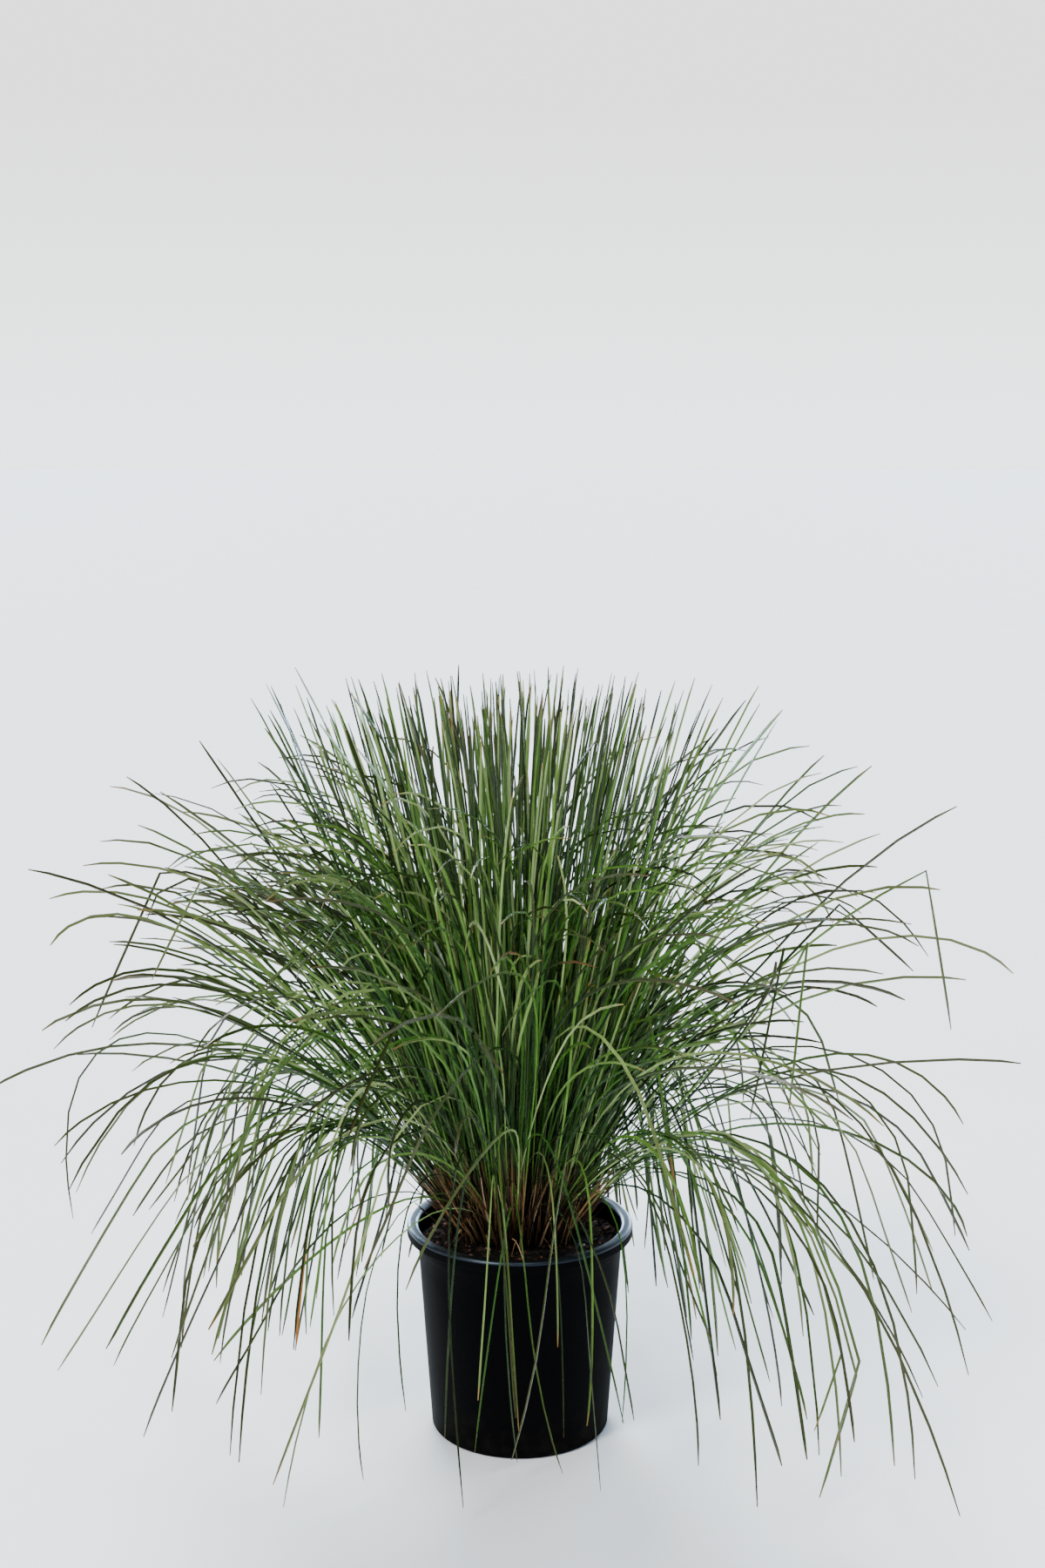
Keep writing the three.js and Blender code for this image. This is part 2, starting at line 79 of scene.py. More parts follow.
DRAIN_RADIUS = 6 * MM
DRAIN_SIDES = 24
POT_EDGE_ANGLE = 40


def wall_radius(z):
    return FOOT_RADIUS + (WALL_TOP_RADIUS - FOOT_RADIUS) * z / POT_HEIGHT


def arc(centre, radius, start, stop, steps=6):
    """Points of a round stretch of a profile, from one angle in degrees to another."""
    angles = [math.radians(start + (stop - start) * i / steps) for i in range(steps + 1)]
    return [(centre[0] + radius * math.cos(a), centre[1] + radius * math.sin(a)) for a in angles]


def turned(name, profile, sides):
    """A closed shape turned about Z: a disc whose edge is extruded along the profile and closed."""
    radius, height = profile[0]
    bpy.ops.mesh.primitive_circle_add(
        vertices=sides, radius=radius, fill_type="TRIFAN", location=(0, 0, height)
    )
    piece = bpy.context.object
    piece.name = name
    bpy.ops.object.transform_apply(location=True, rotation=True, scale=True)
    bpy.ops.object.mode_set(mode="EDIT")
    bpy.ops.mesh.select_all(action="SELECT")
    bpy.ops.mesh.region_to_loop()
    for next_radius, next_height in profile[1:]:
        bpy.ops.mesh.extrude_edges_move(
            TRANSFORM_OT_translate={"value": (0, 0, next_height - height)}
        )
        grow = next_radius / radius
        bpy.ops.transform.resize(value=(grow, grow, 1), center_override=(0, 0, next_height))
        radius, height = next_radius, next_height
    bpy.ops.mesh.extrude_edges_move()
    bpy.ops.mesh.merge(type="CENTER")
    bpy.ops.mesh.select_all(action="SELECT")
    bpy.ops.mesh.normals_make_consistent(inside=False)
    bpy.ops.object.mode_set(mode="OBJECT")
    return piece


shoulder = POT_HEIGHT - 27 * MM
lip_foot = POT_HEIGHT - LIP_HEIGHT
lip_inside = RIM_RADIUS - 2.6 * MM
fold_top = POT_HEIGHT - 3.4 * MM
channel_in = CHANNEL_RADIUS - CHANNEL_HALF
channel_out = CHANNEL_RADIUS + CHANNEL_HALF
wall_profile = [(wall_radius(z), z) for z in np.linspace(8 * MM, shoulder, 12)]
shoulder_profile = [
    (wall_radius(shoulder) + 0.3 * MM, shoulder + 0.6 * MM),
    (wall_radius(shoulder) + 0.7 * MM, shoulder + 1.4 * MM),
    (WALL_TOP_RADIUS + 0.2 * MM, POT_HEIGHT - 7 * MM),
]
floor_inside = [
    (CHANNEL_RADIUS + 15.5 * MM, FLOOR),
    (CHANNEL_RADIUS + 11.5 * MM, FLOOR + CHANNEL_RISE),
    (CHANNEL_RADIUS - 11.5 * MM, FLOOR + CHANNEL_RISE),
    (CHANNEL_RADIUS - 16.5 * MM, FLOOR),
]
pot_profile = (
    [(channel_in - 5 * MM, 0), (channel_in - 4 * MM, 0.5 * MM)]
    + [(channel_in - 1 * MM, CHANNEL_RISE - 0.5 * MM), (channel_in, CHANNEL_RISE)]
    + [(channel_out, CHANNEL_RISE), (channel_out + 1 * MM, CHANNEL_RISE - 0.5 * MM)]
    + [(channel_out + 3.2 * MM, 0.5 * MM), (channel_out + 4 * MM, 0)]
    + arc((FOOT_RADIUS - 4.2 * MM, FOOT_ROUND), FOOT_ROUND, -90, 0)
    + wall_profile
    + shoulder_profile
    + arc((WALL_TOP_RADIUS + 3.2 * MM, fold_top - FOLD_ROUND), FOLD_ROUND, 180, 90)
    + arc((lip_inside - FOLD_ROUND, fold_top - FOLD_ROUND), FOLD_ROUND, 90, 0)
    + arc((lip_inside + LIP_EDGE_ROUND, lip_foot + LIP_EDGE_ROUND), LIP_EDGE_ROUND, 180, 360)
    + arc((RIM_RADIUS - LIP_ROUND, POT_HEIGHT - LIP_ROUND), LIP_ROUND, 0, 90)
    + arc((WALL_TOP_RADIUS + 2.8 * MM, POT_HEIGHT - LIP_ROUND), LIP_ROUND, 90, 180)
    + [(wall_radius(z) - WALL, z) for z in np.linspace(POT_HEIGHT - 14 * MM, 6 * MM, 6)]
    + [(wall_radius(0) - WALL - 3 * MM, FLOOR)]
    + floor_inside
)
pot = turned("pot_moulded", pot_profile, POT_SIDES)

for i in range(DRAIN_HOLES):
    turn = math.radians(i * 360 / DRAIN_HOLES)
    bpy.ops.mesh.primitive_cylinder_add(
        vertices=DRAIN_SIDES,
        radius=DRAIN_RADIUS,
        depth=12 * MM,
        location=(CHANNEL_RADIUS * math.cos(turn), CHANNEL_RADIUS * math.sin(turn), CHANNEL_RISE),
    )
    drill = bpy.context.object
    bpy.context.view_layer.objects.active = pot
    cut = pot.modifiers.new("drain", "BOOLEAN")
    cut.operation = "DIFFERENCE"
    cut.object = drill
    bpy.ops.object.modifier_apply(modifier=cut.name)
    bpy.data.objects.remove(drill)
bpy.ops.object.select_all(action="DESELECT")
pot.select_set(True)
bpy.context.view_layer.objects.active = pot
bpy.ops.object.shade_smooth_by_angle(angle=math.radians(POT_EDGE_ANGLE))


def new_finish(name):
    """A material with its node tree and its shader."""
    made = bpy.data.materials.new(name)
    made.use_nodes = True
    return made, made.node_tree, made.node_tree.nodes["Principled BSDF"]


def node(tree, kind, inputs=(), **settings):
    """A shader node with its settings, and its inputs set to values or linked to sockets."""
    made = tree.nodes.new("ShaderNode" + kind)
    for name, value in settings.items():
        setattr(made, name, value)
    for socket, value in dict(inputs).items():
        if isinstance(value, bpy.types.NodeSocket):
            tree.links.new(value, made.inputs[socket])
        else:
            made.inputs[socket].default_value = value
    return made


def maths(tree, operation, *values):
    """The result of a sum on values or sockets."""
    return node(tree, "Math", dict(enumerate(values)), operation=operation).outputs[0]


def object_noise(tree, scale, detail=4, stretch=(1, 1, 1)):
    """Noise in the object's own space."""
    place = node(tree, "TexCoord").outputs["Object"]
    mapped = node(tree, "Mapping", {"Vector": place, "Scale": stretch}).outputs[0]
    return node(tree, "TexNoise", {"Vector": mapped, "Scale": scale, "Detail": detail}).outputs[0]


def ramp(tree, factor, stops):
    """A colour ramp from (place, colour) pairs."""
    made = node(tree, "ValToRGB", {"Fac": factor})
    elements = made.color_ramp.elements
    while len(elements) < len(stops):
        elements.new(0.5)
    for element, (place, colour) in zip(elements, stops):
        element.position = place
        element.color = (*colour, 1)
    return made.outputs[0]


def blended(tree, factor, first, second, how="MIX"):
    """Two colours mixed by a factor."""
    made = tree.nodes.new("ShaderNodeMix")
    made.data_type = "RGBA"
    made.blend_type = how
    for socket, value in ((0, factor), (6, first), (7, second)):
        if isinstance(value, bpy.types.NodeSocket):
            tree.links.new(value, made.inputs[socket])
        else:
            made.inputs[socket].default_value = value if socket == 0 else (*value, 1)
    return made.outputs[2]


def spread(tree, value, from_low, from_high, to_low, to_high):
    """A value moved from one range to another and kept inside it."""
    inputs = {0: value, 1: from_low, 2: from_high, 3: to_low, 4: to_high}
    return node(tree, "MapRange", inputs).outputs[0]


def bumped(tree, shader, height, distance, strength=1.0):
    """Relief from a height, so many metres deep, on a shader."""
    inputs = {"Height": height, "Distance": distance, "Strength": strength}
    tree.links.new(node(tree, "Bump", inputs).outputs[0], shader.inputs["Normal"])


def black_plastic(name, gloss, rough_low, rough_high, relief):
    """Black moulded plastic with faint flow marks, a fine grain, and a little dust near the foot."""
    made, tree, shader = new_finish(name)
    cloudy = object_noise(tree, 7)
    height_up = node(tree, "SeparateXYZ", {0: node(tree, "TexCoord").outputs["Object"]}).outputs[2]
    splash = spread(tree, height_up, 0.0, 0.06, 0.35, 0.0)
    specks = spread(tree, object_noise(tree, 60), 0.45, 0.7, 0, 1)
    dusty = maths(tree, "MULTIPLY", splash, specks)
    black = ramp(tree, cloudy, [(0.3, (0.001, 0.001, 0.0012)), (0.75, (0.002, 0.002, 0.0022))])
    colour = blended(tree, dusty, black, (0.014, 0.011, 0.008))
    tree.links.new(colour, shader.inputs["Base Color"])
    streaks = object_noise(tree, 14, stretch=(1, 1, 0.25))
    rough = spread(tree, streaks, 0.3, 0.75, rough_low, rough_high)
    tree.links.new(rough, shader.inputs["Roughness"])
    shader.inputs["Specular IOR Level"].default_value = gloss
    grain = object_noise(tree, 420, 3)
    drawn = object_noise(tree, 90, 2, stretch=(1, 1, 0.03))
    bumped(tree, shader, maths(tree, "ADD", grain, drawn), relief, 0.5)
    return made


pot.data.materials.clear()
pot.data.materials.append(
    black_plastic("matt_plastic", gloss=0.012, rough_low=0.45, rough_high=0.62, relief=0.25 * MM)
)
lip_plastic = black_plastic(
    "polished_lip", gloss=0.5, rough_low=0.32, rough_high=0.38, relief=0.004 * MM
)
lip_shader = lip_plastic.node_tree.nodes["Principled BSDF"]
# The lip's reflections are tinted blue: a painted cool sky colour in them.
lip_shader.inputs["Specular Tint"].default_value = (0.62, 0.80, 1.0, 1)
pot.data.materials.append(lip_plastic)
for face in pot.data.polygons:
    face.material_index = int(face.center.z > POT_HEIGHT - 4 * MM)
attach(pot, "root")
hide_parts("pot")

# Soil
# Dark bark potting mix, filled to a little below the lip. It is a loose, uneven bed of fine
# crumbs, with flakes of bark lying in it and a few pale grains.
SOIL_Z = 220 * MM
SOIL_SLACK = 0.4 * MM
SOIL_EDGE = wall_radius(SOIL_Z) - WALL - 0.3 * MM
SOIL_SIDES = 110
SOIL_RINGS = 30
FLAKES = 420
CRUMBS = 1500
GRAINS = 46


def lumps(spot):
    """How far the bed stands above its level at a spot, in millimetres."""
    return noise.noise(spot * 55) * 2.6 + noise.noise(spot * 190) * 1.5


soil_rings = [
    (SOIL_EDGE * (1 - i / SOIL_RINGS), SOIL_Z + min(i, 14) * 0.12 * MM)
    for i in range(SOIL_RINGS - 1)
]
soil_profile = (
    [(radius, height + SOIL_SLACK) for radius, height in reversed(floor_inside)]
    + [(FOOT_RADIUS - WALL - 3.4 * MM, FLOOR + SOIL_SLACK)]
    + [(wall_radius(z) - WALL - SOIL_SLACK, z) for z in np.linspace(7 * MM, SOIL_Z - 6 * MM, 4)]
    + soil_rings
)
soil = turned("soil_bed", soil_profile, SOIL_SIDES)
for vertex in soil.data.vertices:
    if vertex.co.z > SOIL_Z - 3 * MM:
        vertex.co.z += lumps(vertex.co) * MM
bpy.ops.object.shade_smooth()

mix, tree, shader = new_finish("bark_mix")
coarse = object_noise(tree, 120, 6)
fine = object_noise(tree, 700, 3)
earth = ramp(tree, coarse, [
    (0.35, (0.002, 0.0012, 0.0008)),
    (0.55, (0.006, 0.0035, 0.002)),
    (0.75, (0.02, 0.010, 0.006)),
])
shaded = ramp(tree, fine, [(0.4, (0.3, 0.3, 0.3)), (0.7, (1, 1, 1))])
tree.links.new(blended(tree, 0.5, earth, shaded, "MULTIPLY"), shader.inputs["Base Color"])
tree.links.new(spread(tree, fine, 0.3, 0.7, 0.6, 0.95), shader.inputs["Roughness"])
shader.inputs["Specular IOR Level"].default_value = 0.15
bumped(tree, shader, maths(tree, "ADD", coarse, fine), 2.5 * MM)
soil.data.materials.clear()
soil.data.materials.append(mix)
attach(soil, "root")
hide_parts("soil")


def shape_of(piece):
    """The points and faces of a modelled piece, which is then removed."""
    points = np.array([vertex.co[:] for vertex in piece.data.vertices])
    faces = [tuple(face.vertices) for face in piece.data.polygons]
    bpy.data.objects.remove(piece)
    return points, faces


def turn_matrix(rng, tilt):
    """A turn about Z after a random tilt of up to so many radians."""
    a, b, c = rng.uniform(-tilt, tilt), rng.uniform(-tilt, tilt), rng.uniform(0, 2 * math.pi)
    ca, cb, cc = math.cos(a), math.cos(b), math.cos(c)
    sa, sb, sc = math.sin(a), math.sin(b), math.sin(c)
    about_x = np.array([[1, 0, 0], [0, ca, -sa], [0, sa, ca]])
    about_y = np.array([[cb, 0, sb], [0, 1, 0], [-sb, 0, cb]])
    about_z = np.array([[cc, -sc, 0], [sc, cc, 0], [0, 0, 1]])
    return about_z @ about_y @ about_x


def mesh_piece(name, points, faces, tones, uvs=None):
    """A mesh with a colour attribute per point, and UVs per point if given."""
    data = bpy.data.meshes.new(name)
    data.from_pydata(points.tolist(), [], faces)
    attribute = data.attributes.new("tone", "FLOAT_COLOR", "POINT")
    attribute.data.foreach_set("color", np.asarray(tones, np.float32).ravel())
    if uvs is not None:
        corner = np.zeros(len(data.loops), np.int32)
        data.loops.foreach_get("vertex_index", corner)
        layer = data.uv_layers.new(name="UVMap")
        layer.data.foreach_set("uv", np.asarray(uvs, np.float32)[corner].ravel())
    piece = bpy.data.objects.new(name, data)
    bpy.context.collection.objects.link(piece)
    bpy.ops.object.select_all(action="DESELECT")
    piece.select_set(True)
    bpy.context.view_layer.objects.active = piece
    return piece


def bark_shape(seed):
    """One flake: a cube cut once more along its length, with its corners pushed about."""
    bpy.ops.mesh.primitive_cube_add(size=1)
    flake = bpy.context.object
    bpy.ops.object.mode_set(mode="EDIT")
    bpy.ops.mesh.select_all(action="SELECT")
    bpy.ops.mesh.subdivide(number_cuts=1)
    bpy.ops.object.mode_set(mode="OBJECT")
    rng = np.random.default_rng(seed)
    points, faces = shape_of(flake)
    narrowed = points * (1 - 0.25 * np.abs(points[:, :1]))
    return narrowed + rng.uniform(-0.13, 0.13, points.shape), faces


def scattered(name, shapes, count, size, seed, from_wall, sink, tilt):
    """Copies of a few shapes, their size in millimetres, strewn over the soil as one mesh."""
    rng = np.random.default_rng(seed)
    points, faces, tones, start = [], [], [], 0
    for i in range(count):
        shape, shape_faces = shapes[i % len(shapes)]
        radius = (SOIL_EDGE - from_wall) * math.sqrt(rng.uniform(0, 1))
        angle = rng.uniform(0, 2 * math.pi)
        scaled = np.array(size) * rng.uniform(0.5, 1.25) * MM
        spot = np.array([radius * math.cos(angle), radius * math.sin(angle), 0])
        ground = Vector((spot[0], spot[1], SOIL_Z))
        spot[2] = SOIL_Z + (1.2 + lumps(ground) - sink * size[2]) * MM
        points.append(shape * scaled @ turn_matrix(rng, tilt).T + spot)
        faces += [tuple(start + corner for corner in face) for face in shape_faces]
        tones.append(np.tile([rng.uniform(), rng.uniform(), rng.uniform(), 1], (len(shape), 1)))
        start += len(shape)
    return mesh_piece(name, np.concatenate(points), faces, np.concatenate(tones))


def own_tones(tree):
    """The numbers that each flake, straw or leaf carries in its colour attribute."""
    carried = node(tree, "Attribute", attribute_name="tone")
    parts = node(tree, "SeparateColor", {0: carried.outputs["Color"]}).outputs
    return [*parts, carried.outputs["Alpha"]]


bark_shapes = [bark_shape(seed) for seed in (3, 5, 8, 11)]
flakes = scattered(
    "bark_flakes", bark_shapes, FLAKES, (11, 6, 2.6), seed=21, from_wall=7 * MM, sink=0.2, tilt=0.5
)
crumbs = scattered(
    "bark_crumbs", bark_shapes, CRUMBS, (3.6, 2.6, 2), seed=22, from_wall=3 * MM, sink=0.2, tilt=1.2
)
bark, tree, shader = new_finish("bark")
tone = own_tones(tree)[0]
grainy = object_noise(tree, 260, 5)
brown = ramp(tree, tone, [
    (0.0, (0.002, 0.001, 0.001)),
    (0.6, (0.008, 0.004, 0.0025)),
    (0.85, (0.03, 0.013, 0.007)),
    (1.0, (0.20, 0.07, 0.03)),
])
shaded = ramp(tree, grainy, [(0.35, (0.35, 0.3, 0.28)), (0.7, (1.3, 1.3, 1.3))])
tree.links.new(blended(tree, 0.6, brown, shaded, "MULTIPLY"), shader.inputs["Base Color"])
tree.links.new(spread(tree, grainy, 0.3, 0.7, 0.55, 0.9), shader.inputs["Roughness"])
bumped(tree, shader, grainy, 1.2 * MM)
shader.inputs["Specular IOR Level"].default_value = 0.2
for piece in (flakes, crumbs):
    piece.data.materials.append(bark)
    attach(piece, "root")

pale = scattered(
    "pale_grains", bark_shapes, GRAINS, (3.4, 2.8, 2.4), seed=23, from_wall=8 * MM, sink=0, tilt=1.2
)
grit, tree, shader = new_finish("pale_grit")
tint = ramp(tree, own_tones(tree)[0], [
    (0.0, (0.1, 0.05, 0.03)),
    (0.6, (0.30, 0.15, 0.11)),
    (1.0, (0.55, 0.38, 0.34)),
])
speckle = object_noise(tree, 800, 2)
shaded = ramp(tree, speckle, [(0.35, (0.5, 0.5, 0.5)), (0.7, (1, 1, 1))])
tree.links.new(blended(tree, 0.5, tint, shaded, "MULTIPLY"), shader.inputs["Base Color"])
bumped(tree, shader, speckle, 0.8 * MM)
shader.inputs["Roughness"].default_value = 0.7
pale.data.materials.append(grit)
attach(pale, "root")

# Tufts
# The shoots of the clump are bunched in tufts, which stand in a sunflower pattern on the crown and
# lean out towards its edge. Their leaves are narrow and folded along the midrib, green and glossy
# above and straw brown where the sheath clasps the shoot. All lengths here are in millimetres.
TUFTS = 40
CROWN_PLACE = np.array([-6.0, 14.0])
CROWN_HALF = np.array([75.0, 60.0])
TUFT_HALF = np.array([68.0, 53.0])
SOIL_MM = 220.0
GOLDEN_ANGLE = 137.508
EDGE_LEAN = 33
TUFT_SPREAD = 15
CORE_ROOT = 14
CORE_TOP = 54
CORE_TOP_RADIUS = 6
LEAF_RISE = 20
LEAVES_PER_TUFT = 8
LEAST_LEAVES = 4
LEAF_WIDTH = 3.2
LEAF_STEPS = 60
KINK_STEP = 48
EARLY_KINK_STEP = 36
MAX_TRIES = 30
GAP = 0.35
REACH_X = 560
REACH_Y = 540
TOP_Z = 862
LOWEST_LEAF = 12
LOWEST_LOOSE_LEAF = 45
FRONT_DROOP_FROM = 254
FRONT_DROOP_RISE = 0.555


def sin(angle):
    return np.sin(np.radians(angle))


def cos(angle):
    return np.cos(np.radians(angle))


def draws(seed):
    """A seeded source of numbers from 0 to 1, the same as the one that set out the solids."""
    modulus = 2147483647
    state = 1 + (seed * 7919) % (modulus - 1)

    def draw():
        nonlocal state
        state = state * 16807 % modulus
        return (state - 1) / (modulus - 1)

    for warming_up in range(3):
        draw()
    return draw


def aim(lean, turn):
    """The direction that leans so many degrees from upright towards a turn."""
    return np.stack([sin(lean) * cos(turn), sin(lean) * sin(turn), cos(lean) + 0 * turn], -1)


class Tuft:
    """Where a tuft stands on the crown and which way it leans."""

    def __init__(self, k):
        share = math.sqrt((k + 0.5) / TUFTS)
        self.turn = k * GOLDEN_ANGLE
        self.lean = EDGE_LEAN * share
        across = TUFT_HALF * share * np.array([cos(self.turn), sin(self.turn)])
        self.foot = np.array([*(CROWN_PLACE + across), SOIL_MM])
        self.axis = aim(self.lean, self.turn)
        self.long_leaves = 0

    def along(self, rise):
        return self.foot + self.axis * rise

    def sideways(self, turn):
        out = aim(self.lean + 90, self.turn)
        across = np.array([-sin(self.turn), cos(self.turn), 0])
        return out * cos(turn) + across * sin(turn)


def ring_spacing(bend):
    """The more a leaf bends, the closer its rings stand, in steps of its path."""
    if bend < 55:
        return LEAF_STEPS // 3
    return LEAF_STEPS // 4 if bend < 105 else LEAF_STEPS // 5


def loose_leaf(tuft, k, j, attempt, count):
    """A leaf of the clump: some bow right over and hang, some snap and drop, the rest arch."""
    draw = draws(1000 * k + 37 * j + 7 * attempt + 5)
    tilt = TUFT_SPREAD * math.sqrt((j + 0.5) / count) * (0.7 + 0.6 * draw())
    side = tuft.sideways(j * GOLDEN_ANGLE + 61 * k + 50 * (draw() - 0.5))
    start = tuft.axis * cos(tilt) + side * sin(tilt)
    lean = math.degrees(math.acos(start[2]))
    turn = math.degrees(math.atan2(start[1], start[0]))
    root = tuft.along(LEAF_RISE + 4 * draw()) + side * 0.6
    front = 0.5 - 0.5 * sin(turn)
    flop = draw()
    kind = draw()
    hangs = 0.08 + 0.016 * lean - (0.2 if lean > 14 else 0.06) * front * front
    bent_by, power, snaps_at, snapped = 1, 1, LEAF_STEPS, 0
    if kind < hangs:
        tip = 140 + 36 * draw()
        bent_by = 0.5 + 0.4 * draw()
        power = 1 + 0.9 * draw()
        length = 440 + 280 * draw()
    elif kind > 0.86 and lean > 10:
        tip = lean + 6
        length = 520 + 90 * draw()
        snapped = 118 + 50 * draw()
        snaps_at = EARLY_KINK_STEP if draw() < 0.6 else KINK_STEP
    else:
        tip = min(165, lean + 4 + 1.2 * lean + 70 * flop**1.6)
        power = 1.3 + 1.1 * draw()
        length = 450 + 190 * draw() + 2 * min(28, lean)
    sway = 110 * (draw() - 0.5)
    roll = 70 * (draw() - 0.5)
    t = (np.arange(LEAF_STEPS) + 0.5) / LEAF_STEPS
    slope = lean + (tip - lean) * np.minimum(1, t / bent_by) ** power
    slope[snaps_at:] = snapped
    steps = aim(slope, turn + sway * t * t) * length / LEAF_STEPS
    path = np.vstack([root, root + np.cumsum(steps, 0)])
    bent = 180 if snaps_at < LEAF_STEPS else tip - lean
    return path, roll, ring_spacing(bent)


# Long leaves that stand out of the clump: the point each one is drawn over, its tip, and for a
# snapped one the end of the piece that hangs past the kink.
LONG_LEAVES = [
    [(-290, 60, 700), (-480, 60, 670)],
    [(-300, 90, 720), (-470, 90, 730)],
    [(-290, -20, 670), (-430, -20, 760)],
    [(-250, 100, 630), (-370, 100, 780)],
    [(-200, 150, 670), (-310, 150, 750)],
    [(-320, -20, 690), (-520, -20, 620)],
    [(-420, -60, 710), (-510, -60, 580)],
    [(-300, 10, 660), (-400, -10, 650), (-470, -40, 480)],
    [(-260, -120, 660), (-330, -150, 670), (-380, -180, 570)],
    [(-350, -60, 650), (-490, -60, 510)],
    [(-370, -120, 620), (-500, -120, 480)],
    [(-540, -80, 660), (-490, -80, 270)],
    [(-340, -120, 620), (-470, -160, 330)],
    [(-390, 60, 550), (-450, 60, 310)],
    [(-340, 120, 530), (-420, 120, 220)],
    [(-230, -250, 660), (-260, -320, 180)],
    [(-260, -200, 600), (-290, -260, 80)],
    [(-260, -180, 520), (-310, -240, 180)],
    [(-160, -130, 360), (-320, -200, 160)],
    [(-180, -200, 360), (-240, -320, 60)],
    [(-150, -160, 420), (-120, -180, 100)],
    [(250, -40, 600), (480, -40, 730)],
    [(250, 60, 620), (400, 60, 760)],
    [(250, -80, 570), (430, -110, 670), (460, -120, 500)],
    [(260, -20, 560), (490, -60, 540)],
    [(330, 60, 760), (460, 0, 550)],
    [(280, 160, 740), (370, 120, 560)],
    [(280, -140, 530), (280, -120, 590), (240, -180, 420)],
    [(380, -100, 570), (480, -100, 390)],
    [(330, -180, 610), (470, -180, 340)],
    [(340, -60, 640), (490, -120, 130)],
    [(260, -120, 450), (480, -160, 180)],
    [(290, -220, 530), (450, -300, 40)],
    [(340, -120, 480), (460, -140, 50)],
    [(380, -120, 510), (410, -160, 20)],
    [(230, -240, 590), (250, -300, 30)],
    [(310, -180, 570), (340, -200, 30)],
    [(270, -200, 520), (350, -240, 180), (310, -260, 40)],
    [(-110, -240, 560), (-60, -240, 20)],
    [(-60, -200, 520), (-80, -170, 60)],
    [(-10, -170, 400), (-50, -150, 30)],
    [(-40, -180, 460), (0, -150, 20)],
    [(40, -160, 370), (50, -150, 50)],
    [(10, -200, 570), (110, -210, 100)],
    [(130, -150, 420), (110, -170, 80)],
]


def drawn_curve(t, start, pull, over, stop):
    """Points of a smooth curve that is drawn over two handles, for shares t of its run."""
    s = 1 - t
    return s**3 * start + 3 * s**2 * t * pull + 3 * s * t * t * over + t**3 * stop


def long_leaf(tuft, index, attempt):
    """A long leaf leaves its tuft along the axis and is drawn over a point to its tip."""
    draw = draws(90000 + 37 * index + 7 * attempt)

    def near(point, slack):
        return np.array(point) + slack * np.array([draw() - 0.5, draw() - 0.5, draw() - 0.5])

    over = near(LONG_LEAVES[index][0], 10 * attempt)
    tip = near(LONG_LEAVES[index][1], 5 * attempt)
    snapped = len(LONG_LEAVES[index]) > 2
    end = near(LONG_LEAVES[index][2], 5 * attempt) if snapped else None
    tilt = 5 + 6 * draw()
    side = tuft.sideways(index * GOLDEN_ANGLE)
    root = tuft.along(LEAF_RISE + 4 * draw()) + side * 0.6
    roll = 70 * (draw() - 0.5)
    towards = over - tuft.foot
    start = tuft.axis * cos(tilt) + side * sin(tilt) + towards / np.linalg.norm(towards) * 0.55
    start /= np.linalg.norm(start)
    pull = root + start * 0.38 * np.linalg.norm(over - root)
    curved = KINK_STEP if snapped else LEAF_STEPS
    t = (np.arange(curved + 1) / curved)[:, None]
    path = drawn_curve(t, root, pull, over, tip)
    if snapped:
        t = (np.arange(1, LEAF_STEPS - curved + 1) / (LEAF_STEPS - curved))[:, None]
        path = np.vstack([path, tip + (end - tip) * t])
    return path, roll, ring_spacing(180)


def width_share(t):
    """Leaf outline: narrow at the sheath, full width past the middle, then a fine point."""
    taper = 1 - np.clip((t - 0.55) / 0.45, 0, 1) ** 1.6
    return np.where(t < 0.2, 0.6 + 2 * t, taper)


def clear_of_pot(path, lowest, settled):
    """Whether a leaf stays inside the clump, above the floor and off the pot's wall and lip."""
    x, y, z = path.T
    room = 3.5
    r = np.hypot(x, y)
    droop = FRONT_DROOP_RISE * np.maximum(0, -y - FRONT_DROOP_FROM)
    if np.any(z < lowest + droop) or np.any(z > TOP_Z):
        return False
    if np.any(np.abs(x) > REACH_X) or np.any(np.abs(y) > REACH_Y):
        return False
    outside = (z > POT_HEIGHT / MM + room) | (r > RIM_RADIUS / MM + room)
    inside = (r < (WALL_TOP_RADIUS - WALL) / MM - room) & (z > SOIL_MM)
    under_lip = z < (POT_HEIGHT - LIP_HEIGHT) / MM - room
    by_wall = under_lip & (r > wall_radius(z * MM) / MM + room) & (np.arange(len(x)) > settled)
    return bool(np.all(outside | inside | by_wall))


def segment_distance(p0, p1, q0, q1):
    """The distance of every segment p from every segment q."""
    d1 = (p1 - p0)[:, None]
    d2 = (q1 - q0)[None]
    r = p0[:, None] - q0[None]
    a, e, b = (d1 * d1).sum(-1), (d2 * d2).sum(-1), (d1 * d2).sum(-1)
    c, f = (d1 * r).sum(-1), (d2 * r).sum(-1)
    apart = a * e - b * b
    skew = apart > 1e-9
    s = np.where(skew, np.clip((b * f - c * e) / np.where(skew, apart, 1), 0, 1), 0)
    t = np.clip((b * s + f) / e, 0, 1)
    s = np.clip((b * t - c) / a, 0, 1)
    return np.linalg.norm(r + d1 * s[..., None] - d2 * t[..., None], axis=-1)


